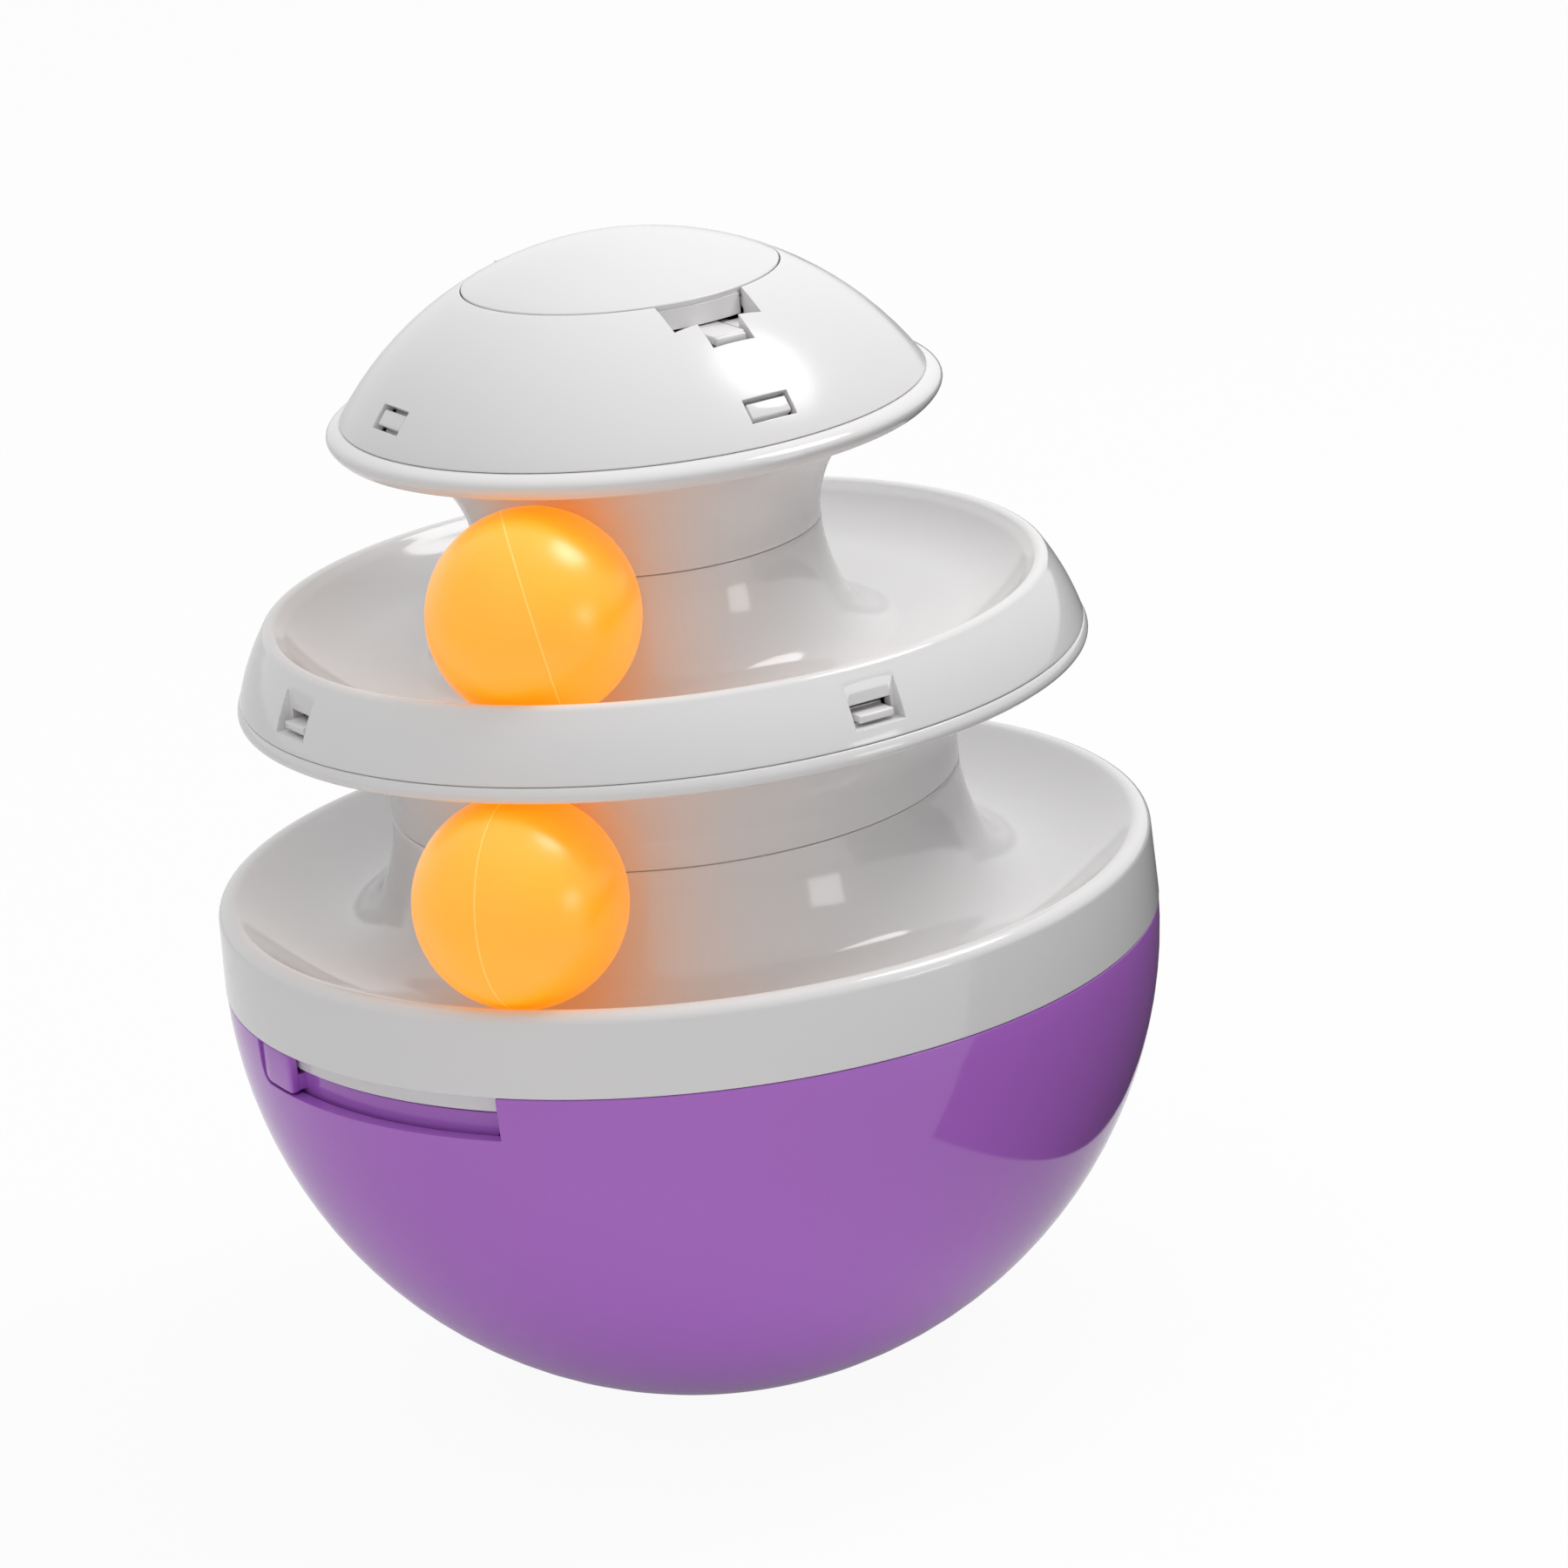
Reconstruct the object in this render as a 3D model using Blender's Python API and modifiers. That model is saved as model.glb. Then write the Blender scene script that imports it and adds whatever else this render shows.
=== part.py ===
"""Treat dispensing tumbler: a weighted round base carrying two ball tracks and a lidded treat dome.

Metres, +Z up. The origin is the centre of the small flat foot under the base, on the tower axis.
Azimuths are in degrees from -Y, where the lid latch faces, turning towards +X.
"""
import math

import bmesh
import bpy
from mathutils import Matrix, Vector

# Walls and clearances
SKIN = 0.0022
GAP = 0.0003
SLIP = 0.0005
EDGE = 0.0004
BITE = 0.0008

# Balls
BALL_RADIUS = 0.0200
BALL_PLAY = 0.0006
BALL_AZIMUTH = -52.5

# Round base
SPHERE_RADIUS = 0.0908
FOOT_RADIUS = 0.0130
FLOOR_RADIUS = 0.0162
BASE_WALL = 0.0025
BASE_SEAM_DROP = 0.0009

# Treat outlet and its slider
NOTCH_LEFT = -96.0
NOTCH_RIGHT = -54.0
NOTCH_DEPTH = 0.0086
LEDGE_DROP = 0.0036
LEDGE_WIDTH = 0.0028
LEDGE_THICK = 0.0010
SHUTTER_WALL = 0.0018
SHUTTER_LAP = 3.0
TAB_ANGLE = 7.4
TAB_PLAY = 0.3
TAB_NECK_INSET = 0.5

# Ballast in the base
WEIGHT_RADIUS = 0.0440
WEIGHT_TOP = 0.0180
BOSS_CIRCLE = 0.0520
BOSS_RADIUS = 0.0040
BOSS_TOP = 0.0230
BOSS_FLOOR = 0.0030
COVER_THICK = 0.0020
COVER_CROWN = 0.0020
COVER_FLAT_RADIUS = 0.0450
PRESS_RIB_RADIUS = 0.0320
PRESS_RIB_WIDTH = 0.0020
SCREW_AZIMUTHS = (60.0, 180.0, 300.0)
SCREW_SHANK = 0.0012
SCREW_HEAD = 0.0028
SCREW_HEAD_HEIGHT = 0.0016

# Lower track
BAND_HEIGHT = 0.0165
BAND_PROUD = 0.0001
BAND_WALL = 0.0026
PLUG_DROP = 0.0039
PLUG_WALL = 0.0017
RIM_ROUND = 0.0024
RIM_INSET = 0.0004
RIM_TURN = 130.0
LOWER_BALL_INSET = 0.0129
LOWER_NECK_PLAY = 0.0003
LOWER_CHANNEL_DEPTH = 0.0081
LOWER_NECK_SEAM_DROP = 0.0017

# Necks
FLARE_ANGLE = 26.0
FLARE_FILLET = 0.0105
SPIGOT_LENGTH = 0.0060
SPIGOT_WALL = 0.0018
SOCKET_RELIEF = 0.0012

# Upper track
TRACK_OVERHANG = 0.0060
TRACK_LIP = 0.0040
TRACK_LIP_BULGE = 0.0007
TRACK_LIP_TUCK = 0.0020
TRACK_COLLAR_INSET = 0.0040
TRACK_COLLAR_RISE = 0.0010
TRACK_WALL_HEIGHT = 0.0134
TRACK_WALL_LEAN = 0.0056
TRACK_WALL_BOW = 0.0005
UPPER_RIM_ROUND = 0.0018
UPPER_RIM_INSET = 0.0016
UPPER_RIM_TURN = 25.0
UPPER_BALL_INSET = 0.0186
UPPER_NECK_PLAY = 0.0022
UPPER_FLOOR_DROP = 0.0018

# Treat dome
DOME_RISE = 0.0303
DOME_OVERHANG = 0.0006
DOME_LIP = 0.0048
DOME_LIP_BULGE = 0.0023
DOME_LIP_TUCK = 0.0008
DOME_COLLAR_INSET = 0.0049
DOME_COLLAR_RISE = 0.0024

# Snap clips of the track and the dome
CLIP_AZIMUTHS = (0.0, 90.0, 180.0, 270.0)
CLIP_WIDTH = 0.0106
CLIP_DEPTH = 0.0045
CLIP_SILL = 0.0026
CLIP_PAD_WALL = 0.0023
CLIP_PAD_SIDE = 0.0017
CLIP_SLIT_INSET = 0.0008
CLIP_SLIT_HEIGHT = 0.0035
HOOK_WIDTH = 0.0080
HOOK_WALL = 0.0016
BARB_INSET = 0.0003
TRACK_BARB_HEIGHT = 0.0015
DOME_HOOK_LENGTH = 0.0096
DOME_HOOK_RISE = 0.0032
DOME_BARB_LENGTH = 0.0024
DOME_BARB_RISE = 0.0046
WINDOW_MARGIN = 0.00075
WINDOW_LENGTH = 0.0050
WINDOW_RISE = 0.0053

# Lid, finger recess, latch and hinge
LID_RADIUS = 0.0302
LID_TAPER = 0.0008
SEAT_WIDTH = 0.0030
SEAT_THICK = 0.0018
SEAT_ROOT = 0.0040
RECESS_WIDTH = 0.0186
RECESS_RUN = 0.0054
RECESS_DEPTH = 0.0058
RECESS_WALL = 0.0018
LATCH_WIDTH = 0.0068
LATCH_RUN = 0.0100
LATCH_THICK = 0.0016
LATCH_LIP = 0.0021
LATCH_SLOT_MARGIN = 0.0010
LATCH_SLOT_END = 0.0006
LATCH_SLOT_DEPTH = 0.0083
SKIRT_DEPTH = 0.0050
SKIRT_WALL = 0.0017
SKIRT_ANGLE = 17.0
HINGE_DEPTH = 0.0025
HINGE_SETBACK = 0.0012
HINGE_WIDTH = 0.0210
HINGE_END_CLEAR = 0.0032
HINGE_PIN_RADIUS = 0.0008
KNUCKLE_RADIUS = 0.0020
LID_KNUCKLE_WIDTH = 0.0096
HINGE_RELIEF = 0.0022
HINGE_RELIEF_DEPTH = 0.0060

# Cutters run past the face they cut by this much
PAST = 0.0040
THROUGH = 0.0100

# Facets
SEGMENTS = 40
ARC_STEP = 11.0
HIDDEN_STEP = 19.0
SPHERE_STEP = 7.5
DOME_STEP = 5.5
RIM_STEP = 26.0
SECTOR_STEP = 3.75
ROD_SIDES = 16
PIN_SIDES = 12

# Heights and radii worked out up the tower
BASE_INNER = SPHERE_RADIUS - BASE_WALL
SPHERE_Z = math.sqrt(SPHERE_RADIUS ** 2 - FOOT_RADIUS ** 2)
BASE_SEAM_Z = SPHERE_Z - BASE_SEAM_DROP
NOTCH_Z = BASE_SEAM_Z - NOTCH_DEPTH
LEDGE_Z = NOTCH_Z - LEDGE_DROP
PLUG_Z = BASE_SEAM_Z - PLUG_DROP
BAND_RADIUS = SPHERE_RADIUS + BAND_PROUD
LOWER_RIM_Z = BASE_SEAM_Z + BAND_HEIGHT
LOWER_RIM = (BAND_RADIUS - RIM_ROUND - RIM_INSET, LOWER_RIM_Z - RIM_ROUND)
LOWER_BALL_R = LOWER_RIM[0] - LOWER_BALL_INSET
LOWER_BALL_REACH = BALL_RADIUS + RIM_ROUND + GAP
LOWER_BALL_Z = LOWER_RIM[1] + math.sqrt(LOWER_BALL_REACH ** 2 - LOWER_BALL_INSET ** 2)
LOWER_NECK_RADIUS = LOWER_BALL_R - BALL_RADIUS - LOWER_NECK_PLAY
LOWER_NECK_SEAM_Z = LOWER_BALL_Z - LOWER_NECK_SEAM_DROP
ROOF_RADIUS = BALL_RADIUS + BALL_PLAY
TRACK_RADIUS = LOWER_BALL_R + TRACK_OVERHANG
COVER_Z = LOWER_BALL_Z + ROOF_RADIUS
TRACK_SEAM_Z = COVER_Z + TRACK_LIP
CLIP_BACK = TRACK_RADIUS - CLIP_DEPTH
UPPER_RIM_Z = TRACK_SEAM_Z + TRACK_WALL_HEIGHT
UPPER_RIM = (TRACK_RADIUS - TRACK_WALL_LEAN - UPPER_RIM_INSET, UPPER_RIM_Z - UPPER_RIM_ROUND)
UPPER_BALL_R = UPPER_RIM[0] - UPPER_BALL_INSET
UPPER_BALL_REACH = BALL_RADIUS + BALL_PLAY + UPPER_RIM_ROUND
UPPER_BED_ANGLE = math.degrees(math.acos(UPPER_BALL_INSET / UPPER_BALL_REACH))
UPPER_BALL_Z = UPPER_RIM[1] + math.sqrt(UPPER_BALL_REACH ** 2 - UPPER_BALL_INSET ** 2)
UPPER_NECK_SEAM_Z = UPPER_BALL_Z
DISH_RADIUS = BALL_RADIUS + UPPER_NECK_PLAY
UPPER_NECK_RADIUS = UPPER_BALL_R - DISH_RADIUS
DOME_SEAM_Z = UPPER_BALL_Z + DISH_RADIUS + DOME_LIP
DOME_SEAM_RADIUS = UPPER_BALL_R + DOME_OVERHANG
DOME_RADIUS = (DOME_SEAM_RADIUS ** 2 + DOME_RISE ** 2) / (2 * DOME_RISE)
DOME_Z = DOME_SEAM_Z + DOME_RISE - DOME_RADIUS
DOME_INNER = DOME_RADIUS - SKIN


def dome_height(radius, sphere=DOME_RADIUS):
    """Height of a sphere about the dome's centre, at a radius from the tower axis."""
    return DOME_Z + math.sqrt(sphere ** 2 - radius ** 2)


def dome_reach(height, sphere=DOME_RADIUS):
    """Radius of a sphere about the dome's centre, at a height."""
    return math.sqrt(sphere ** 2 - (height - DOME_Z) ** 2)


def base_reach(height, sphere=BASE_INNER):
    """Radius of a sphere about the base's centre, at a height."""
    return math.sqrt(sphere ** 2 - (height - SPHERE_Z) ** 2)


def base_depth(radius, sphere=BASE_INNER):
    """Height of the underside of a sphere about the base's centre, at a radius."""
    return SPHERE_Z - math.sqrt(sphere ** 2 - radius ** 2)


LID_EDGE_Z = dome_height(LID_RADIUS)
HINGE_Y = LID_RADIUS - HINGE_SETBACK
HINGE_Z = dome_height(HINGE_Y) - HINGE_DEPTH
RECESS_REACH = LID_RADIUS + RECESS_RUN
LATCH_REACH = LID_RADIUS + LATCH_RUN
LATCH_SLOT_REACH = LATCH_REACH + LATCH_SLOT_END
LATCH_Y = -(LID_RADIUS - SKIRT_WALL / 2)
LATCH_Z = LID_EDGE_Z - SKIRT_DEPTH - GAP - LATCH_THICK / 2


def wipe_scene():
    """Start from an empty scene."""
    for item in list(bpy.data.objects):
        bpy.data.objects.remove(item, do_unlink=True)


def make_collection(name):
    group = bpy.data.collections.new(name)
    bpy.context.scene.collection.children.link(group)
    return group


wipe_scene()
PARTS = make_collection("treat_tumbler")
TOOLS = make_collection("tools")


def material(name, colour, roughness, metallic=0.0):
    made = bpy.data.materials.new(name)
    made.use_nodes = True
    shader = made.node_tree.nodes["Principled BSDF"]
    shader.inputs["Base Color"].default_value = (*colour, 1.0)
    shader.inputs["Roughness"].default_value = roughness
    shader.inputs["Metallic"].default_value = metallic
    return made


WHITE = material("white_plastic", (0.80, 0.79, 0.79), 0.15)
PURPLE = material("purple_plastic", (0.42, 0.145, 0.60), 0.10)
ORANGE = material("orange_plastic", (1.0, 0.46, 0.02), 0.32)
STEEL = material("steel", (0.55, 0.55, 0.57), 0.35, 1.0)
IRON = material("iron", (0.20, 0.20, 0.21), 0.55, 1.0)


def add_object(name, mesh, finish=None):
    """A sub-part if it has a finish, or else a shape to cut or join with, kept out of the model."""
    made = bpy.data.objects.new(name, mesh)
    if finish:
        PARTS.objects.link(made)
        mesh.materials.append(finish)
    else:
        TOOLS.objects.link(made)
        made.hide_render = True
        made.display_type = "WIRE"
    return made


def bmesh_object(name, shape, finish=None):
    mesh = bpy.data.meshes.new(name)
    shape.to_mesh(mesh)
    shape.free()
    return add_object(name, mesh, finish)


def arc(centre, radius, start, end, step=ARC_STEP):
    """Points on a circle in the profile plane, between two angles in degrees from +r."""
    count = max(2, round(abs(end - start) / step))
    angles = [math.radians(start + (end - start) * i / count) for i in range(count + 1)]
    return [(centre[0] + radius * math.cos(a), centre[1] + radius * math.sin(a)) for a in angles]


def sphere_arc(sphere, centre_z, start_radius, end_radius, upper=True, step=SPHERE_STEP):
    """Points on a sphere about the tower axis, between two radii."""
    start, end = (math.degrees(math.acos(r / sphere)) for r in (start_radius, end_radius))
    sign = 1.0 if upper else -1.0
    return arc((0.0, centre_z), sphere, sign * start, sign * end, step)


def parabola(start, end, steps, level=False):
    """Points from start to end on a parabola that leaves the start upright, or else level."""
    shares = [i / steps for i in range(steps + 1)]
    run, rise = (end[0] - start[0], end[1] - start[1])
    if level:
        return [(start[0] + run * t, start[1] + rise * t ** 2) for t in shares]
    return [(start[0] + run * t ** 2, start[1] + rise * t) for t in shares]


def bulge(start, end, depth, steps):
    """Points from start to end on a shallow curve that swells to the left of the way by a depth."""
    run, rise = (end[0] - start[0], end[1] - start[1])
    length = math.hypot(run, rise)
    across = (-rise / length, run / length)
    shares = [i / steps for i in range(steps + 1)]
    swell = [4.0 * depth * t * (1.0 - t) for t in shares]
    return [(start[0] + run * t + across[0] * s, start[1] + rise * t + across[1] * s)
            for t, s in zip(shares, swell)]


def flare(neck, top, floor):
    """The outside of a neck, from its top down to the channel floor, and the centre of its fillet."""
    slope = math.radians(FLARE_ANGLE)
    foot_z = floor + FLARE_FILLET * (1.0 - math.sin(slope))
    foot_r = neck + (top - foot_z) * math.tan(slope) / 2
    centre = (foot_r + FLARE_FILLET * math.cos(slope), floor + FLARE_FILLET)
    side = parabola((neck, top), (foot_r, foot_z), 4)
    return side + arc(centre, FLARE_FILLET, 180.0 + FLARE_ANGLE, 270.0)[1:], centre


def flare_inside(bore, socket, centre):
    """The inside of a flared neck, from under the channel floor up to the bottom of its socket."""
    under = arc(centre, FLARE_FILLET + SKIN, 270.0, 180.0 + FLARE_ANGLE, HIDDEN_STEP)
    return under + parabola((bore, socket), under[-1], 2)[-2::-1]


def turned(name, profile, closed, finish=None, steps=SEGMENTS):
    """A profile of (radius, height) points turned about the tower axis."""
    mesh = bpy.data.meshes.new(name)
    count = len(profile)
    edges = [(i, i + 1) for i in range(count - 1)]
    if closed:
        edges.append((count - 1, 0))
    mesh.from_pydata([(r, 0.0, z) for r, z in profile], edges, [])
    made = add_object(name, mesh, finish)
    screw = made.modifiers.new("turn", "SCREW")
    screw.axis = "Z"
    screw.steps = steps
    screw.render_steps = steps
    screw.use_merge_vertices = True
    screw.merge_threshold = 0.00001
    screw.use_smooth_shade = True
    return made


def azimuth(angle):
    return Matrix.Rotation(math.radians(angle), 4, "Z")


def block(name, width, inner, outer, low, high, angle=0.0, side=0.0, finish=None):
    """A box facing an azimuth, between two radii and two heights."""
    place = Matrix.Translation((side, -(inner + outer) / 2, (low + high) / 2))
    size = Matrix.Diagonal((width, outer - inner, high - low, 1.0))
    shape = bmesh.new()
    bmesh.ops.create_cube(shape, size=1.0, matrix=azimuth(angle) @ place @ size)
    return bmesh_object(name, shape, finish)


def dome_block(name, width, length, low, high, height, angle):
    """A box lying along the dome's slope, between two distances from the dome's centre."""
    middle = (low + high) / 2
    lean = math.acos((height - DOME_Z) / middle)
    turn = azimuth(angle) @ Matrix.Translation((0.0, 0.0, DOME_Z)) @ Matrix.Rotation(lean, 4, "X")
    size = Matrix.Diagonal((width, length, high - low, 1.0))
    shape = bmesh.new()
    bmesh.ops.create_cube(shape, size=1.0, matrix=turn @ Matrix.Translation((0.0, 0.0, middle)) @ size)
    return bmesh_object(name, shape)


def cylinder(name, radius, length, place, sides, finish=None):
    shape = bmesh.new()
    bmesh.ops.create_cone(shape, cap_ends=True, segments=sides, radius1=radius, radius2=radius,
                          depth=length, matrix=place)
    return bmesh_object(name, shape, finish)


def post(name, radius, low, high, circle, angle, sides=ROD_SIDES):
    """An upright cylinder on a circle about the tower axis."""
    place = azimuth(angle) @ Matrix.Translation((0.0, -circle, (low + high) / 2))
    return cylinder(name, radius, high - low, place, sides)


def hinge_rod(name, radius, left, right, finish=None, sides=ROD_SIDES):
    """A cylinder lying along the lid's hinge axis."""
    middle = Matrix.Translation(((left + right) / 2, HINGE_Y, HINGE_Z))
    return cylinder(name, radius, right - left, middle @ Matrix.Rotation(math.pi / 2, 4, "Y"), sides, finish)


def sector(name, inner, outer, left, right, low, high, finish=None):
    """A curved bar about the tower axis, between two azimuths."""
    count = max(2, round((right - left) / SECTOR_STEP))
    angles = [math.radians(left + (right - left) * i / count) for i in range(count + 1)]
    ring = [(outer, a) for a in angles] + [(inner, a) for a in reversed(angles)]
    shape = bmesh.new()
    floor = [shape.verts.new((r * math.sin(a), -r * math.cos(a), low)) for r, a in ring]
    face = shape.faces.new(floor)
    raised = bmesh.ops.extrude_face_region(shape, geom=[face])["geom"]
    corners = [item for item in raised if isinstance(item, bmesh.types.BMVert)]
    bmesh.ops.translate(shape, verts=corners, vec=(0.0, 0.0, high - low))
    bmesh.ops.recalc_face_normals(shape, faces=shape.faces)
    return bmesh_object(name, shape, finish)


def combine(body, tool, operation):
    step = body.modifiers.new(tool.name, "BOOLEAN")
    step.operation = operation
    step.solver = "EXACT"
    step.object = tool


def cut(body, tool):
    combine(body, tool, "DIFFERENCE")


def fuse(body, tool):
    combine(body, tool, "UNION")


def trim(tool, core):
    """Keep only the part of a tool that lies inside a core."""
    combine(tool, core, "INTERSECT")


def pivot(name, place, piece):
    """An empty on a joint axis that carries the piece which moves about it."""
    empty = bpy.data.objects.new(name, None)
    empty.location = place
    PARTS.objects.link(empty)
    piece.parent = empty
    piece.location = piece.location - Vector(place)


def build_base_shell():
    """The purple bowl: foot, wall, slider ledge, treat notch and ballast bosses."""
    top = BASE_SEAM_Z - GAP / 2
    ledge = base_reach(LEDGE_Z) - LEDGE_WIDTH
    ledge_low = LEDGE_Z - LEDGE_THICK
    edge = base_reach(top, SPHERE_RADIUS)
    profile = [(0.0, base_depth(FLOOR_RADIUS))]
    profile += sphere_arc(BASE_INNER, SPHERE_Z, FLOOR_RADIUS, base_reach(ledge_low - LEDGE_THICK), False)
    profile += [(ledge, ledge_low), (ledge, LEDGE_Z), (base_reach(LEDGE_Z), LEDGE_Z)]
    profile += [(base_reach(top), top), (edge - EDGE, top)]
    profile += sphere_arc(SPHERE_RADIUS, SPHERE_Z, base_reach(top - EDGE, SPHERE_RADIUS), FOOT_RADIUS, False)
    profile += [(0.0, 0.0)]
    body = turned("base_shell", profile, False, PURPLE)

    skin = SPHERE_RADIUS - BASE_WALL / 2
    core_profile = [(0.0, LEDGE_Z)]
    core_profile += sphere_arc(skin, SPHERE_Z, base_reach(LEDGE_Z, skin), FOOT_RADIUS, False)
    core_profile += [(0.0, base_depth(FOOT_RADIUS, skin))]
    core = turned("base_core", core_profile, False)
    boss_floor = base_depth(BOSS_CIRCLE, SPHERE_RADIUS) + BOSS_FLOOR
    for i, angle in enumerate(SCREW_AZIMUTHS):
        boss = post(f"boss_{i}", BOSS_RADIUS, 0.0, BOSS_TOP, BOSS_CIRCLE, angle)
        trim(boss, core)
        fuse(body, boss)
        cut(body, post(f"boss_bore_{i}", SCREW_SHANK + GAP, boss_floor, BOSS_TOP + PAST,
                       BOSS_CIRCLE, angle, PIN_SIDES))
    cut(body, sector("treat_notch", base_reach(LEDGE_Z) - PAST, SPHERE_RADIUS + PAST,
                     NOTCH_LEFT, NOTCH_RIGHT, NOTCH_Z, BASE_SEAM_Z + PAST))


def build_outlet_slider():
    """A curved shutter inside the shell, which closes the notch, with a thumb tab in the notch."""
    left = NOTCH_LEFT + TAB_PLAY
    right = left + TAB_ANGLE
    low = LEDGE_Z + GAP
    outer = base_reach(low) - SLIP
    high = PLUG_Z - SLIP
    body = sector("outlet_slider", outer - SHUTTER_WALL, outer, left, NOTCH_RIGHT + SHUTTER_LAP,
                  low, high, PURPLE)
    fuse(body, sector("tab_neck", outer - SHUTTER_WALL / 2, BASE_INNER + BITE, left + TAB_NECK_INSET,
                      right - TAB_NECK_INSET, NOTCH_Z + BITE, high - GAP))
    fuse(body, sector("tab", BASE_INNER, SPHERE_RADIUS - SLIP, left, right,
                      NOTCH_Z + EDGE, BASE_SEAM_Z - EDGE))
    pivot("outlet_slide", (0.0, 0.0, NOTCH_Z), body)


def build_counterweight():
    """An iron lens that lies in the bottom of the base."""
    sphere = BASE_INNER - SLIP
    foot = FLOOR_RADIUS - SLIP
    profile = [(0.0, WEIGHT_TOP), (WEIGHT_RADIUS - BITE, WEIGHT_TOP), (WEIGHT_RADIUS, WEIGHT_TOP - BITE)]
    profile += sphere_arc(sphere, SPHERE_Z, WEIGHT_RADIUS, foot, False)
    profile += [(0.0, base_depth(foot, sphere))]
    turned("counterweight", profile, False, IRON)


def build_weight_cover():
    """The plate screwed over the counterweight, which is also the floor of the treat bowl."""
    low = BOSS_TOP + GAP
    plate = low + COVER_THICK
    press = WEIGHT_TOP + GAP
    edge = base_reach(low) - BITE
    outer = PRESS_RIB_RADIUS + PRESS_RIB_WIDTH / 2
    inner = PRESS_RIB_RADIUS - PRESS_RIB_WIDTH / 2
    profile = [(0.0, plate + COVER_CROWN), (COVER_FLAT_RADIUS, plate), (edge, plate), (edge, low)]
    profile += [(outer, low), (outer, press), (inner, press), (inner, low), (0.0, low)]
    body = turned("weight_cover", profile, False, PURPLE)
    for i, angle in enumerate(SCREW_AZIMUTHS):
        cut(body, post(f"cover_hole_{i}", SCREW_SHANK + GAP, low - PAST, plate + PAST,
                       BOSS_CIRCLE, angle, PIN_SIDES))


def build_weight_screws():
    """Pan head screws through the cover into the bosses."""
    seat = BOSS_TOP + COVER_THICK + 2 * GAP
    crown = seat + SCREW_HEAD_HEIGHT
    tip = base_depth(BOSS_CIRCLE, SPHERE_RADIUS) + BOSS_FLOOR + SLIP
    profile = [(0.0, crown), (SCREW_HEAD - BITE, crown), (SCREW_HEAD, crown - BITE), (SCREW_HEAD, seat)]
    profile += [(SCREW_SHANK, seat), (SCREW_SHANK, tip + BITE), (0.0, tip)]
    for i, angle in enumerate(SCREW_AZIMUTHS):
        body = turned(f"weight_screw_{i + 1}", profile, False, STEEL, PIN_SIDES)
        body.location = azimuth(angle) @ Vector((0.0, -BOSS_CIRCLE, 0.0))


def build_lower_track():
    """The white band with its plug skirt, the lower ball channel and the lower half of its neck."""
    bottom = BASE_SEAM_Z + GAP / 2
    plug = BASE_INNER - SLIP
    plug_inner = plug - PLUG_WALL
    band_inner = BAND_RADIUS - BAND_WALL
    neck_top = LOWER_NECK_SEAM_Z - GAP / 2
    bore = LOWER_NECK_RADIUS - SKIN
    floor = LOWER_RIM_Z - LOWER_CHANNEL_DEPTH
    neck, fillet = flare(LOWER_NECK_RADIUS, neck_top, floor)
    rim = arc(LOWER_RIM, RIM_ROUND, RIM_TURN, 0.0, RIM_STEP)
    bed = parabola(neck[-1], rim[0], 4, level=True)[1:-1]
    profile = rim + [(BAND_RADIUS, bottom + EDGE), (BAND_RADIUS - EDGE, bottom)]
    profile += [(plug, bottom), (plug, PLUG_Z), (plug_inner, PLUG_Z), (plug_inner, bottom + SKIN)]
    profile += [(band_inner, bottom + SKIN + BAND_WALL), (band_inner, LOWER_RIM[1] - SKIN)]
    profile += [(r, z - SKIN) for r, z in reversed(bed)]
    profile += flare_inside(bore, neck_top - SPIGOT_LENGTH - SOCKET_RELIEF, fillet)
    profile += [(bore, neck_top)] + neck + bed
    turned("lower_track", profile, True, WHITE)


def build_ball(name, radius, height):
    """A table tennis ball, carried round its track by an empty on the tower axis."""
    shape = bmesh.new()
    bmesh.ops.create_uvsphere(shape, u_segments=24, v_segments=12, radius=BALL_RADIUS)
    body = bmesh_object(name, shape, ORANGE)
    body.data.shade_smooth()
    body.location = azimuth(BALL_AZIMUTH) @ Vector((0.0, -radius, height))
    pivot(name + "_orbit", (0.0, 0.0, height), body)


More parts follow.
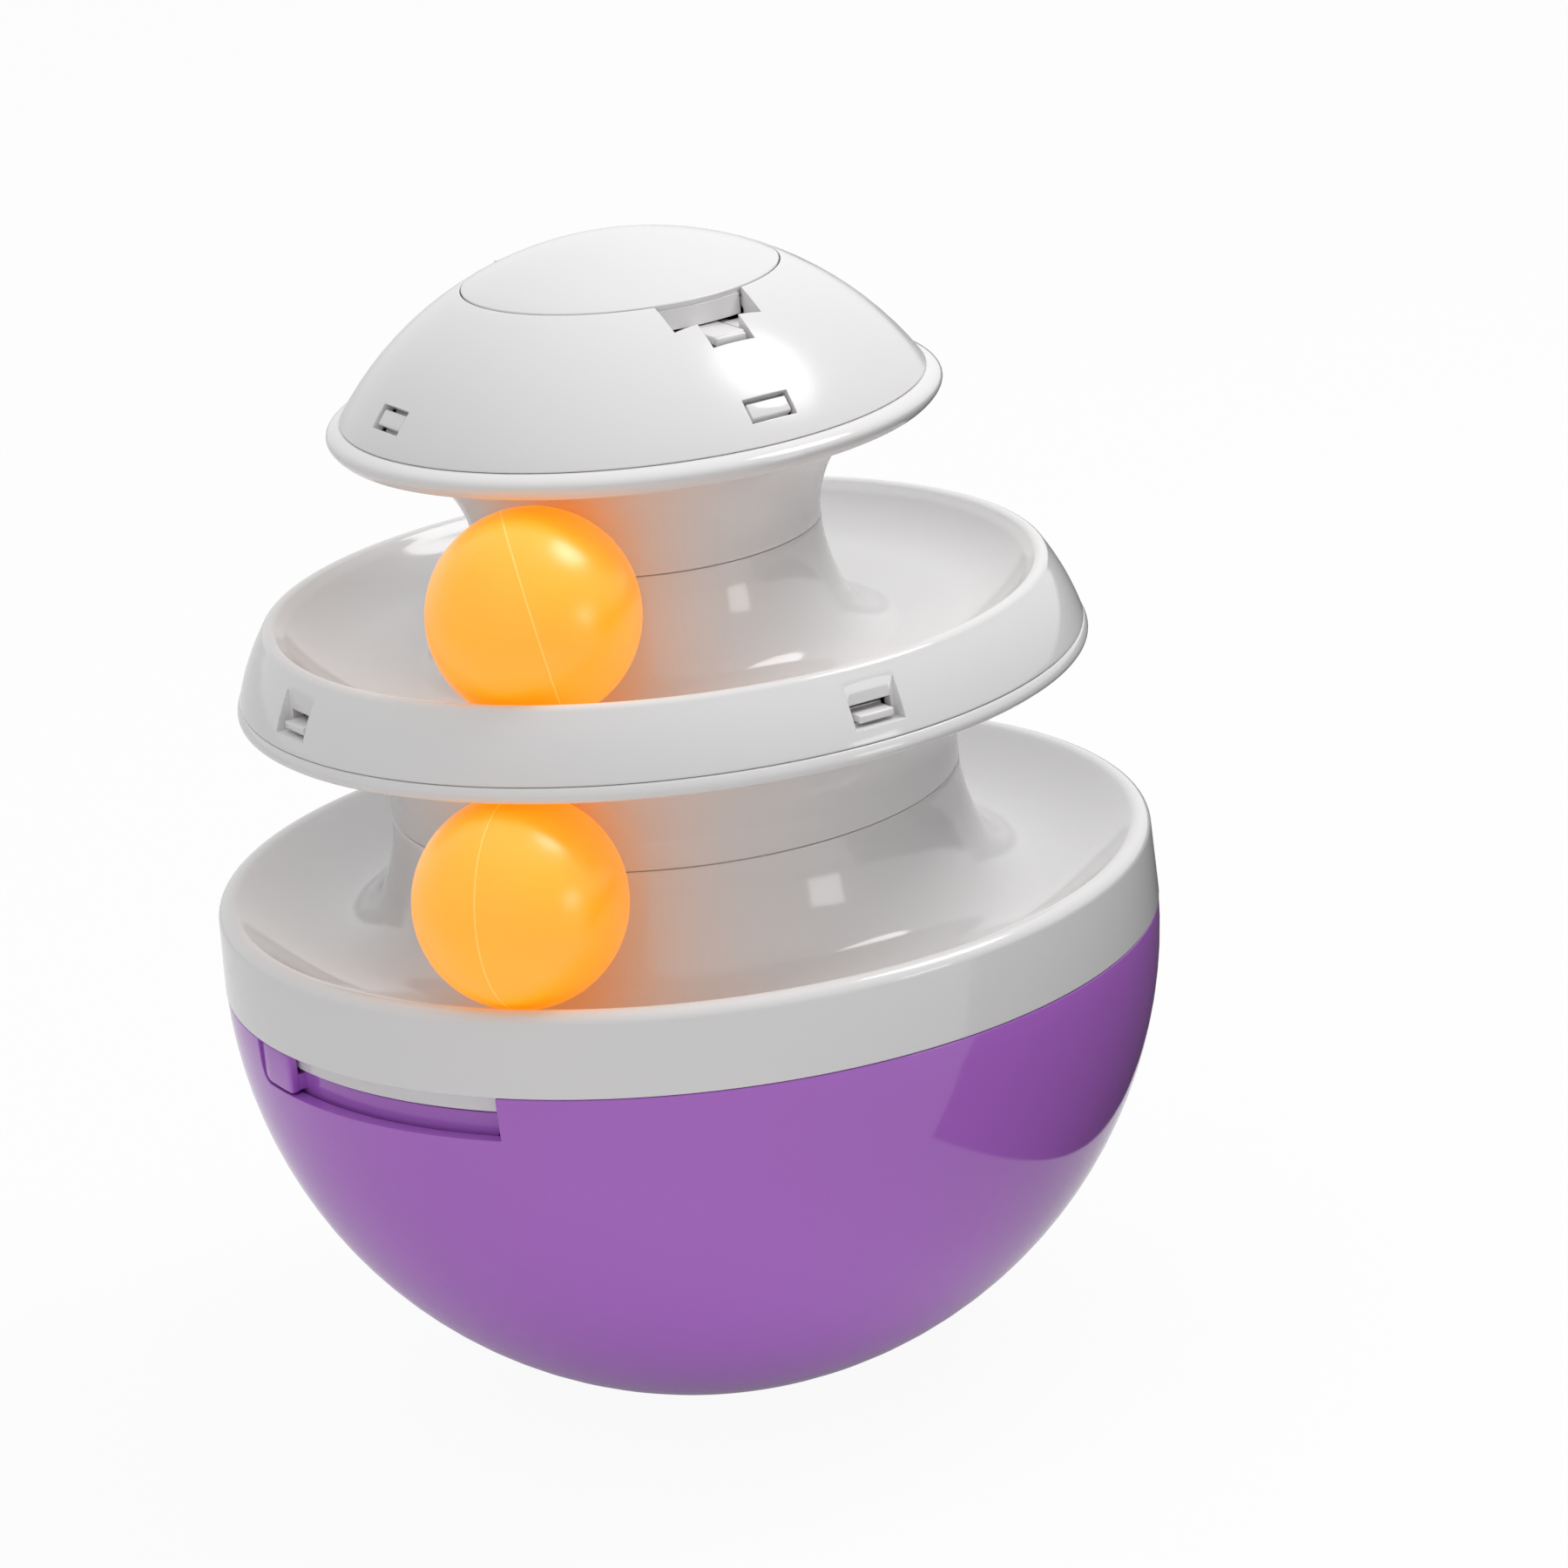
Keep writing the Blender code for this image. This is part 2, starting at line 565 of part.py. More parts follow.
def build_upper_track_base():
    """The under-cover of the upper track: lip, ball roof, upper half of the lower neck and clips."""
    top = TRACK_SEAM_Z - GAP / 2
    centre = (LOWER_BALL_R, LOWER_BALL_Z)
    neck = LOWER_NECK_SEAM_Z + GAP / 2
    spigot = LOWER_NECK_RADIUS - SKIN - GAP
    spigot_inner = spigot - SPIGOT_WALL
    foot = neck - SPIGOT_LENGTH
    collar = TRACK_RADIUS - TRACK_COLLAR_INSET
    collar_inner = collar - SPIGOT_WALL
    collar_top = top + TRACK_COLLAR_RISE
    tuck = (TRACK_RADIUS - TRACK_LIP_TUCK, COVER_Z)
    profile = [(collar, collar_top), (collar, top)]
    profile += bulge((TRACK_RADIUS, top), tuck, TRACK_LIP_BULGE + TRACK_LIP_TUCK / 2, 4)
    profile += arc(centre, ROOF_RADIUS, 90.0, 170.0)
    profile += [(LOWER_NECK_RADIUS, neck), (spigot, neck), (spigot, foot), (spigot_inner, foot)]
    profile += [(spigot_inner, neck)]
    profile += arc(centre, ROOF_RADIUS + SKIN, 172.0, 92.0, HIDDEN_STEP)
    profile += [(collar_inner, COVER_Z + SKIN), (collar_inner, collar_top)]
    body = turned("upper_track_base", profile, True, WHITE)

    hook = CLIP_BACK - CLIP_PAD_WALL - EDGE
    barb_low = TRACK_SEAM_Z + GAP / 2 + CLIP_SILL + GAP + EDGE
    barb_high = barb_low + TRACK_BARB_HEIGHT
    for i, angle in enumerate(CLIP_AZIMUTHS):
        fuse(body, block(f"track_hook_{i}", HOOK_WIDTH, hook - HOOK_WALL, hook,
                         COVER_Z + SKIN / 2, barb_high + GAP, angle))
        fuse(body, block(f"track_barb_{i}", HOOK_WIDTH - 2 * BARB_INSET, hook - HOOK_WALL / 2,
                         CLIP_BACK + CLIP_PAD_WALL, barb_low, barb_high, angle))


def build_upper_track():
    """The upper ball channel with its leaning rim wall and the lower half of the upper neck."""
    bottom = TRACK_SEAM_Z + GAP / 2
    neck_top = UPPER_NECK_SEAM_Z - GAP / 2
    bore = UPPER_NECK_RADIUS - SKIN
    centre = (UPPER_BALL_R, UPPER_BALL_Z)
    floor = UPPER_BALL_Z - ROOF_RADIUS - UPPER_FLOOR_DROP
    neck, fillet = flare(UPPER_NECK_RADIUS, neck_top, floor)
    rim = arc(UPPER_RIM, UPPER_RIM_ROUND, 180.0 - UPPER_BED_ANGLE, UPPER_RIM_TURN, RIM_STEP)
    wall = bulge(rim[-1], (TRACK_RADIUS, bottom), TRACK_WALL_BOW, 4)
    profile = rim + wall[1:]
    profile += [(r - SKIN, z) for r, z in wall[:0:-2]]
    profile += arc(centre, ROOF_RADIUS + SKIN, -UPPER_BED_ANGLE - ARC_STEP, -78.0, HIDDEN_STEP)
    profile += flare_inside(bore, neck_top - SPIGOT_LENGTH - SOCKET_RELIEF, fillet)
    profile += [(bore, neck_top)] + neck
    profile += arc(centre, ROOF_RADIUS, -80.0, -UPPER_BED_ANGLE)[:-1]
    body = turned("upper_track", profile, True, WHITE)

    sill = bottom + CLIP_SILL
    for i, angle in enumerate(CLIP_AZIMUTHS):
        fuse(body, block(f"clip_pad_{i}", CLIP_WIDTH + 2 * CLIP_PAD_SIDE, CLIP_BACK - CLIP_PAD_WALL,
                         CLIP_BACK + HOOK_WALL, sill - HOOK_WALL, UPPER_RIM_Z - PAST, angle))
        cut(body, block(f"clip_pocket_{i}", CLIP_WIDTH, CLIP_BACK, TRACK_RADIUS + PAST,
                        sill, UPPER_RIM_Z, angle))
        cut(body, block(f"clip_slit_{i}", CLIP_WIDTH - 2 * CLIP_SLIT_INSET, CLIP_BACK - PAST,
                        TRACK_RADIUS + PAST, sill + GAP, sill + GAP + CLIP_SLIT_HEIGHT, angle))


def build_dome_base():
    """The dish under the treat dome: lip, ball roof, upper half of the upper neck and clips."""
    top = DOME_SEAM_Z - GAP / 2
    centre = (UPPER_BALL_R, UPPER_BALL_Z)
    neck = UPPER_NECK_SEAM_Z + GAP / 2
    spigot = UPPER_NECK_RADIUS - SKIN - GAP
    spigot_inner = spigot - SPIGOT_WALL
    foot = neck - SPIGOT_LENGTH
    collar = DOME_SEAM_RADIUS - DOME_COLLAR_INSET
    collar_top = top + DOME_COLLAR_RISE
    tuck = (DOME_SEAM_RADIUS + DOME_LIP_TUCK, UPPER_BALL_Z + DISH_RADIUS)
    profile = [(collar, collar_top), (collar, top)]
    profile += bulge((DOME_SEAM_RADIUS, top), tuck, DOME_LIP_BULGE, 4)
    profile += arc(centre, DISH_RADIUS, 92.0, 176.0)
    profile += [(UPPER_NECK_RADIUS, neck), (spigot, neck), (spigot, foot), (spigot_inner, foot)]
    profile += [(spigot_inner, neck)]
    profile += arc(centre, DISH_RADIUS + SKIN, 174.0, 100.0, HIDDEN_STEP)
    profile += [(collar - SPIGOT_WALL, collar_top)]
    body = turned("dome_base", profile, True, WHITE)

    hook = DOME_INNER - SLIP
    for i, angle in enumerate(CLIP_AZIMUTHS):
        fuse(body, dome_block(f"dome_hook_{i}", HOOK_WIDTH, DOME_HOOK_LENGTH, hook - HOOK_WALL, hook,
                              DOME_SEAM_Z + DOME_HOOK_RISE, angle))
        fuse(body, dome_block(f"dome_barb_{i}", HOOK_WIDTH - 2 * BARB_INSET, DOME_BARB_LENGTH,
                              hook - HOOK_WALL / 2, DOME_RADIUS - SLIP, DOME_SEAM_Z + DOME_BARB_RISE, angle))


def build_dome_shell():
    """The white dome: lid seat, finger recess, latch slot, hinge lugs and clip windows."""
    bottom = DOME_SEAM_Z + GAP / 2
    mouth = LID_RADIUS + GAP
    seat = mouth - SEAT_WIDTH
    seat_z = dome_height(seat, DOME_INNER) - GAP
    seat_low = seat_z - SEAT_THICK
    profile = sphere_arc(DOME_RADIUS, DOME_Z, mouth, dome_reach(bottom), step=DOME_STEP)
    profile += sphere_arc(DOME_INNER, DOME_Z, dome_reach(bottom, DOME_INNER), mouth + SEAT_ROOT)
    profile += [(mouth, seat_low - SEAT_THICK / 2), (seat, seat_low), (seat, seat_z)]
    profile += [(mouth, dome_height(mouth, DOME_INNER) - GAP)]
    body = turned("dome_shell", profile, True, WHITE)

    floor = LID_EDGE_Z - RECESS_DEPTH
    slot = LID_EDGE_Z - LATCH_SLOT_DEPTH
    slot_width = LATCH_WIDTH + 2 * LATCH_SLOT_MARGIN
    above = LID_EDGE_Z + THROUGH
    core_sphere = DOME_RADIUS - SKIN / 2
    core_profile = sphere_arc(core_sphere, DOME_Z, 0.0, dome_reach(DOME_SEAM_Z, core_sphere))
    core = turned("dome_core", [*core_profile, (0.0, DOME_SEAM_Z)], False)
    recess_box = block("recess_box", RECESS_WIDTH + 2 * RECESS_WALL, LID_RADIUS - SKIN / 2,
                       RECESS_REACH + RECESS_WALL, floor - RECESS_WALL, above)
    latch_box = block("latch_box", slot_width + 2 * RECESS_WALL, LID_RADIUS - SKIN,
                      LATCH_SLOT_REACH + RECESS_WALL, slot - RECESS_WALL, above)
    for box in (recess_box, latch_box):
        trim(box, core)
        fuse(body, box)
    within = LID_RADIUS - THROUGH
    cut(body, block("finger_recess", RECESS_WIDTH, within, RECESS_REACH, floor, above))
    cut(body, block("latch_slot", slot_width, within, LATCH_SLOT_REACH, slot, above))

    inner = LID_KNUCKLE_WIDTH / 2 + GAP
    reach = HINGE_WIDTH / 2
    for side in (-1.0, 1.0):
        ends = sorted((side * inner, side * reach))
        fuse(body, hinge_rod(f"dome_knuckle_{side:+.0f}", KNUCKLE_RADIUS, *ends))
    cut(body, block("hinge_relief", 2 * inner, within, LID_RADIUS + HINGE_RELIEF,
                    HINGE_Z - HINGE_RELIEF_DEPTH, above, 180.0))
    cut(body, hinge_rod("dome_pin_bore", HINGE_PIN_RADIUS + GAP, -reach - SLIP, reach + SLIP,
                        sides=PIN_SIDES))
    for i, angle in enumerate(CLIP_AZIMUTHS):
        cut(body, dome_block(f"dome_window_{i}", HOOK_WIDTH + 2 * WINDOW_MARGIN, WINDOW_LENGTH,
                             DOME_INNER - PAST, DOME_RADIUS + PAST, DOME_SEAM_Z + WINDOW_RISE, angle))


def build_lid():
    """The flush round lid with its front skirt and hinge knuckle, swung from the hinge axis."""
    profile = sphere_arc(DOME_RADIUS, DOME_Z, 0.0, LID_RADIUS - EDGE, step=DOME_STEP)
    profile += [(LID_RADIUS, LID_EDGE_Z - EDGE)]
    profile += sphere_arc(DOME_INNER, DOME_Z, LID_RADIUS - LID_TAPER, 0.0, step=DOME_STEP)
    body = turned("lid", profile, False, WHITE)
    skirt = LID_RADIUS - GAP / 3
    fuse(body, sector("lid_skirt", skirt - SKIRT_WALL, skirt, -SKIRT_ANGLE, SKIRT_ANGLE,
                      LID_EDGE_Z - SKIRT_DEPTH, LID_EDGE_Z - SKIN / 2))
    half = LID_KNUCKLE_WIDTH / 2
    clear = HINGE_WIDTH / 2 + HINGE_END_CLEAR - half
    hollow = HINGE_Y - KNUCKLE_RADIUS - EDGE
    for side in (-1.0, 1.0):
        cut(body, block(f"knuckle_clearance_{side:+.0f}", clear, hollow, hollow + THROUGH,
                        HINGE_Z - THROUGH, HINGE_Z + THROUGH, 180.0, side * (half + clear / 2)))
    fuse(body, hinge_rod("lid_knuckle", KNUCKLE_RADIUS, -half + GAP / 3, half - GAP / 3))
    cut(body, hinge_rod("lid_pin_bore", HINGE_PIN_RADIUS + GAP, -half - PAST, half + PAST,
                        sides=PIN_SIDES))
    pivot("lid_hinge", (0.0, HINGE_Y, HINGE_Z), body)


def build_lid_hinge_pin():
    reach = HINGE_WIDTH / 2
    hinge_rod("lid_hinge_pin", HINGE_PIN_RADIUS, -reach, reach, STEEL, PIN_SIDES)


def build_lid_latch():
    """The springy tongue below the lid skirt, with a deeper lip at its tip."""
    low = LATCH_Z - LATCH_THICK / 2
    high = LATCH_Z + LATCH_THICK / 2
    body = block("lid_latch", LATCH_WIDTH, -LATCH_Y - BITE, LATCH_REACH - LATCH_LIP / 2, low, high,
                 finish=WHITE)
    fuse(body, block("latch_lip", LATCH_WIDTH - 2 * BARB_INSET, LATCH_REACH - LATCH_LIP, LATCH_REACH,
                     low - GAP, high - GAP))
    pivot("latch_flexure", (0.0, LATCH_Y, LATCH_Z), body)


def build_all():
    build_base_shell()
    build_counterweight()
    build_weight_cover()
    build_weight_screws()
    build_outlet_slider()
    build_lower_track()
    build_ball("lower_ball", LOWER_BALL_R, LOWER_BALL_Z)
    build_upper_track_base()
    build_upper_track()
    build_ball("upper_ball", UPPER_BALL_R, UPPER_BALL_Z)
    build_dome_base()
    build_dome_shell()
    build_lid()
    build_lid_hinge_pin()
    build_lid_latch()


build_all()
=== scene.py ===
"""Looks of the treat dispensing tumbler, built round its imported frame.

Metres, +Z up. Azimuths are in degrees from -Y, where the lid latch faces, turning towards +X.
Every moulding is made again here with finer facets and rounded edges, and stands for its CAD node.
"""
import math

import bmesh
import bpy
from mathutils import Matrix, Vector


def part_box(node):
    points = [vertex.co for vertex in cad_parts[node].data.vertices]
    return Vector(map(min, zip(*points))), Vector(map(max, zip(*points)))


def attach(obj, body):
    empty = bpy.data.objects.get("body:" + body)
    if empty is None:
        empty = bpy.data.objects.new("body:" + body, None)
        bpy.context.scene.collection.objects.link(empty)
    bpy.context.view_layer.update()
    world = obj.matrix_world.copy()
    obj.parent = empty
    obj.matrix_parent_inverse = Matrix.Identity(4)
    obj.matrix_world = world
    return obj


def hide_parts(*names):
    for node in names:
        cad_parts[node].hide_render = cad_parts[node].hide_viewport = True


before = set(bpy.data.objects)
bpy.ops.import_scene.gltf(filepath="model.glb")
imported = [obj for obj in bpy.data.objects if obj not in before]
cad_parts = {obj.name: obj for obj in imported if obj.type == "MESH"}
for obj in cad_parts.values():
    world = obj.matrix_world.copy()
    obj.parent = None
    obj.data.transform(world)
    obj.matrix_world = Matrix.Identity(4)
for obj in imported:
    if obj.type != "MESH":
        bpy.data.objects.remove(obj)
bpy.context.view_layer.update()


def low_z(node):
    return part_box(node)[0].z


def top_z(node):
    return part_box(node)[1].z


def reach(node):
    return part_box(node)[1].x


def ball_place(node):
    """Radius, place on the track, height and azimuth of a ball."""
    low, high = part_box(node)
    middle = (low + high) / 2
    return (high.z - low.z) / 2, middle.xy.length, middle.z, math.degrees(math.atan2(middle.x, -middle.y))


# Walls and clearances
SKIN = 0.0022
GAP = 0.0003
SEAM_GAP = 0.00014
SLIP = 0.0005
EDGE = 0.0004
BITE = 0.0008
EDGE_ROUND = 0.0003

# Balls, from the frame
BALL_RADIUS, LOWER_BALL_R, LOWER_BALL_Z, BALL_AZIMUTH = ball_place("lower_ball")
UPPER_BALL_R, UPPER_BALL_Z = ball_place("upper_ball")[1:3]
ROOF_RADIUS = BALL_RADIUS + 0.0006
SEAM_LINE = 0.00007

# Ways that the joint lines of the balls face, as shares of the camera's axes
LOWER_JOINT_RIGHT = 0.92
LOWER_JOINT_BACK = 0.38
UPPER_JOINT_RIGHT = 0.95
UPPER_JOINT_UP = 0.30

# Round base
BASE_WALL = 0.0025
FLOOR_RADIUS = 0.0162
FOOT_RADIUS = 0.0130
BAND_RADIUS = reach("lower_track")
SPHERE_RADIUS = BAND_RADIUS - 0.0001
BASE_INNER = SPHERE_RADIUS - BASE_WALL
SPHERE_Z = math.sqrt(SPHERE_RADIUS ** 2 - FOOT_RADIUS ** 2)
BASE_SEAM_Z = top_z("base_shell") + GAP / 2

# Treat outlet and its slider
NOTCH_LEFT = -96.0
NOTCH_RIGHT = -54.0
NOTCH_Z = BASE_SEAM_Z - 0.0086
NOTCH_CORNER = 0.0026
LEDGE_Z = NOTCH_Z - 0.0036
LEDGE_WIDTH = 0.0028
LEDGE_THICK = 0.0010
SHUTTER_WALL = 0.0018
SHUTTER_LAP = 3.0
TAB_ANGLE = 7.4
TAB_PLAY = 0.3
TAB_NECK_INSET = 0.06
TAB_ROUND = 0.0005

# Lower track
PLUG_Z = low_z("lower_track")
PLUG_WALL = 0.0017
BAND_WALL = 0.0026
RIM_ROUND = 0.0024
RIM_TURN = 130.0
RIM_STEP = 8.0
LOWER_RIM_Z = BASE_SEAM_Z + 0.0165
LOWER_RIM = (BAND_RADIUS - RIM_ROUND - 0.0004, LOWER_RIM_Z - RIM_ROUND)
LOWER_FLOOR_Z = LOWER_RIM_Z - 0.0081
BED_STEPS = 16
BED_UNDER_POINTS = 12
LOWER_NECK_RADIUS = LOWER_BALL_R - BALL_RADIUS - 0.0003
LOWER_NECK_SEAM_Z = top_z("lower_track") + GAP / 2

# Necks
FLARE_ANGLE = 26.0
FLARE_FILLET = 0.0105
FLARE_STEPS = 12
BORE_STEPS = 8
SPIGOT_WALL = 0.0018
SPIGOT_LENGTH = LOWER_NECK_SEAM_Z + GAP / 2 - low_z("upper_track_base")
SOCKET_DEPTH = SPIGOT_LENGTH + 0.0012

# Upper track
TRACK_RADIUS = reach("upper_track")
TRACK_SEAM_Z = low_z("upper_track") - GAP / 2
COVER_Z = LOWER_BALL_Z + ROOF_RADIUS
COVER_ARC = (90.0, 170.0)
COVER_TOP_ARC = (172.0, 92.0)
TRACK_LIP_BULGE = 0.0017
TRACK_LIP_TUCK = 0.0020
TRACK_COLLAR_INSET = 0.0040
TRACK_COLLAR_RISE = 0.0010
TRACK_WALL_BOW = 0.0005
WALL_INNER_SKIP = 4
UPPER_RIM_Z = TRACK_SEAM_Z + 0.0134
UPPER_RIM_ROUND = 0.0018
UPPER_RIM_TURN = 25.0
UPPER_RIM = (TRACK_RADIUS - 0.0072, UPPER_RIM_Z - UPPER_RIM_ROUND)
UPPER_BED_ANGLE = math.degrees(math.atan2(UPPER_BALL_Z - UPPER_RIM[1], UPPER_RIM[0] - UPPER_BALL_R))
UPPER_BED_START = -80.0
UPPER_UNDER_LEAD = 11.0
UPPER_UNDER_END = -78.0
UPPER_FLOOR_Z = UPPER_BALL_Z - ROOF_RADIUS - 0.0018
DISH_RADIUS = BALL_RADIUS + 0.0022
UPPER_NECK_RADIUS = UPPER_BALL_R - DISH_RADIUS
UPPER_NECK_SEAM_Z = top_z("upper_track") + GAP / 2

# Treat dome
DOME_RADIUS = 0.0669
DOME_INNER = DOME_RADIUS - SKIN
DOME_SEAM_Z = low_z("dome_shell") - GAP / 2
DOME_Z = top_z("lid") - DOME_RADIUS
DOME_SEAM_RADIUS = UPPER_BALL_R + 0.0006
DISH_ARC = (92.0, 176.0)
DISH_TOP_ARC = (174.0, 100.0)
DOME_LIP_BULGE = 0.0023
DOME_LIP_TUCK = 0.0008
DOME_COLLAR_INSET = 0.0049
DOME_COLLAR_RISE = 0.0024

# Snap clips of the track and the dome
CLIP_AZIMUTHS = (0.0, 90.0, 180.0, 270.0)
CLIP_WIDTH = 0.0106
CLIP_BACK = TRACK_RADIUS - 0.0045
CLIP_SILL_Z = TRACK_SEAM_Z + GAP / 2 + 0.0026
CLIP_PAD_WALL = 0.0023
CLIP_PAD_SIDE = 0.0017
CLIP_SLIT_WIDTH = 0.0090
CLIP_SLIT_HEIGHT = 0.0035
HOOK_WIDTH = 0.0080
HOOK_WALL = 0.0016
TRACK_BARB_WIDTH = 0.0074
TRACK_BARB_Z = CLIP_SILL_Z + GAP + EDGE
TRACK_BARB_HEIGHT = 0.0015
DOME_HOOK_LENGTH = 0.0096
DOME_HOOK_Z = DOME_SEAM_Z + 0.0032
DOME_BARB_WIDTH = 0.0084
DOME_BARB_LENGTH = 0.0032
DOME_BARB_Z = DOME_SEAM_Z + 0.0048
WINDOW_WIDTH = 0.0095
WINDOW_LENGTH = 0.0050
WINDOW_Z = DOME_SEAM_Z + 0.0053

# Lid, finger recess, latch and hinge
LID_RADIUS = 0.0302
LID_TAPER = 0.0008
LID_EDGE_Z = DOME_Z + math.sqrt(DOME_RADIUS ** 2 - LID_RADIUS ** 2)
SEAT_WIDTH = 0.0030
SEAT_THICK = 0.0018
SEAT_ROOT = 0.0040
RECESS_WIDTH = 0.0186
RECESS_REACH = 0.0356
RECESS_Z = LID_EDGE_Z - 0.0058
RECESS_WALL = 0.0018
LATCH_WIDTH = 0.0068
LATCH_REACH = 0.0402
LATCH_THICK = 0.0016
LATCH_LIP = 0.0021
LATCH_Z = low_z("lid_latch") + GAP + LATCH_THICK / 2
SLOT_WIDTH = 0.0088
SLOT_REACH = 0.0408
SLOT_Z = LID_EDGE_Z - 0.0083
SKIRT_DEPTH = 0.0050
SKIRT_WALL = 0.0017
SKIRT_ANGLE = 17.0
LATCH_ROOT = LID_RADIUS - SKIRT_WALL / 2
HINGE_Y, HINGE_Z = sum(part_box("lid_hinge_pin"), Vector()).yz / 2
HINGE_HALF = reach("lid_hinge_pin")
PIN_BORE = 0.0011
KNUCKLE_RADIUS = 0.0020
KNUCKLE_HALF = 0.0048
HINGE_RELIEF = 0.0022
HINGE_RELIEF_DROP = 0.0060
HINGE_END_CLEAR = 0.0032

# How far cutters run past a face, and through a whole wall
PAST = 0.0040
THROUGH = 0.0100

# Facets, as counts, or as degrees in the names that end in STEP or TURN. A profile's corner is softened
# from CORNER_TURN up, and a bar's rounded edge keeps its own radius times CORNER_ROOM free of facets.
SEGMENTS = 160
FINE_STEP = 3.0
SECTOR_STEP = 1.0
BULGE_STEPS = 12
ROD_SIDES = 40
BALL_SEGMENTS = 96
BALL_RINGS = 48
CORNER_TURN = 24.0
CORNER_SHARES = (0.0, 0.25, 0.5, 0.75, 1.0)
CORNER_STEPS = 6
CORNER_ROOM = 1.2
BLOCK_STEPS = 3
SHARP_ANGLE = math.radians(40.0)


def dome_height(radius, sphere=DOME_RADIUS):
    """Height of a sphere about the dome's centre, at a radius from the tower axis."""
    return DOME_Z + math.sqrt(sphere ** 2 - radius ** 2)


def dome_reach(height, sphere=DOME_RADIUS):
    """Radius of a sphere about the dome's centre, at a height."""
    return math.sqrt(sphere ** 2 - (height - DOME_Z) ** 2)


def base_reach(height, sphere=BASE_INNER):
    """Radius of a sphere about the base's centre, at a height."""
    return math.sqrt(sphere ** 2 - (height - SPHERE_Z) ** 2)


def base_depth(radius):
    """Height of the bowl's inner face, at a radius."""
    return SPHERE_Z - math.sqrt(BASE_INNER ** 2 - radius ** 2)


def arc(centre, radius, start, end, step=FINE_STEP):
    """Points on a circle in the profile plane, between two angles in degrees from +r."""
    count = max(2, round(abs(end - start) / step))
    angles = [math.radians(start + (end - start) * i / count) for i in range(count + 1)]
    return [(centre[0] + radius * math.cos(a), centre[1] + radius * math.sin(a)) for a in angles]


def sphere_arc(sphere, centre_z, start_radius, end_radius, upper=True):
    """Points on a sphere about the tower axis, between two radii."""
    start, end = (math.degrees(math.acos(r / sphere)) for r in (start_radius, end_radius))
    sign = 1.0 if upper else -1.0
    return arc((0.0, centre_z), sphere, sign * start, sign * end)


def parabola(start, end, steps, level=False):
    """Points from start to end on a parabola that leaves the start upright, or else level."""
    shares = [i / steps for i in range(steps + 1)]
    run, rise = (end[0] - start[0], end[1] - start[1])
    if level:
        return [(start[0] + run * t, start[1] + rise * t ** 2) for t in shares]
    return [(start[0] + run * t ** 2, start[1] + rise * t) for t in shares]


def bulge(start, end, depth):
    """Points from start to end on a shallow curve that swells to the left of the way by a depth."""
    run, rise = (end[0] - start[0], end[1] - start[1])
    length = math.hypot(run, rise)
    across = (-rise / length, run / length)
    shares = [i / BULGE_STEPS for i in range(BULGE_STEPS + 1)]
    swell = [4.0 * depth * t * (1.0 - t) for t in shares]
    return [(start[0] + run * t + across[0] * s, start[1] + rise * t + across[1] * s)
            for t, s in zip(shares, swell)]


def flare(neck, top, floor):
    """The outside of a neck, from its top down to the channel floor, and the centre of its fillet."""
    slope = math.radians(FLARE_ANGLE)
    foot_z = floor + FLARE_FILLET * (1.0 - math.sin(slope))
    foot_r = neck + (top - foot_z) * math.tan(slope) / 2
    centre = (foot_r + FLARE_FILLET * math.cos(slope), floor + FLARE_FILLET)
    side = parabola((neck, top), (foot_r, foot_z), FLARE_STEPS)
    return side + arc(centre, FLARE_FILLET, 180.0 + FLARE_ANGLE, 270.0)[1:], centre


def flare_inside(bore, socket, centre):
    """The inside of a flared neck, from under the channel floor up to the bottom of its socket."""
    under = arc(centre, FLARE_FILLET + SKIN, 270.0, 180.0 + FLARE_ANGLE)
    return under + parabola((bore, socket), under[-1], BORE_STEPS)[-2::-1]


def soften(points, closed):
    """Round the sharp corners of a profile with small quadratic curves."""
    count = len(points)
    kept = []
    for i, here in enumerate(points):
        if not closed and i in (0, count - 1):
            kept.append(here)
            continue
        here = Vector(here)
        back = Vector(points[i - 1]) - here
        ahead = Vector(points[(i + 1) % count]) - here
        if 180.0 - math.degrees(back.angle(ahead, math.pi)) < CORNER_TURN:
            kept.append(tuple(here))
            continue
        start = here + back.normalized() * min(EDGE_ROUND, back.length / 3)
        end = here + ahead.normalized() * min(EDGE_ROUND, ahead.length / 3)
        for t in CORNER_SHARES:
            kept.append(tuple(start * (1 - t) ** 2 + here * 2 * t * (1 - t) + end * t ** 2))
    return kept


def new_object(name, mesh):
    made = bpy.data.objects.new(name, mesh)
    bpy.context.scene.collection.objects.link(made)
    return made


def from_bmesh(name, shape):
    mesh = bpy.data.meshes.new(name)
    shape.to_mesh(mesh)
    shape.free()
    return new_object(name, mesh)


def turned(name, profile, closed):
    """A softened profile of (radius, height) points turned about the tower axis."""
    points = soften(profile, closed)
    shape = bmesh.new()
    angles = [2.0 * math.pi * i / SEGMENTS for i in range(SEGMENTS)]
    rings = []
    for r, z in points:
        if r < EDGE_ROUND / 10:
            rings.append([shape.verts.new((0.0, 0.0, z))] * SEGMENTS)
        else:
            rings.append([shape.verts.new((r * math.cos(a), r * math.sin(a), z)) for a in angles])
    pairs = list(zip(rings, rings[1:]))
    if closed:
        pairs.append((rings[-1], rings[0]))
    for upper, lower in pairs:
        for i in range(SEGMENTS):
            j = (i + 1) % SEGMENTS
            corners = dict.fromkeys((upper[i], lower[i], lower[j], upper[j]))
            shape.faces.new(corners)
    bmesh.ops.recalc_face_normals(shape, faces=shape.faces)
    return from_bmesh(name, shape)


def azimuth(angle):
    return Matrix.Rotation(math.radians(angle), 4, "Z")


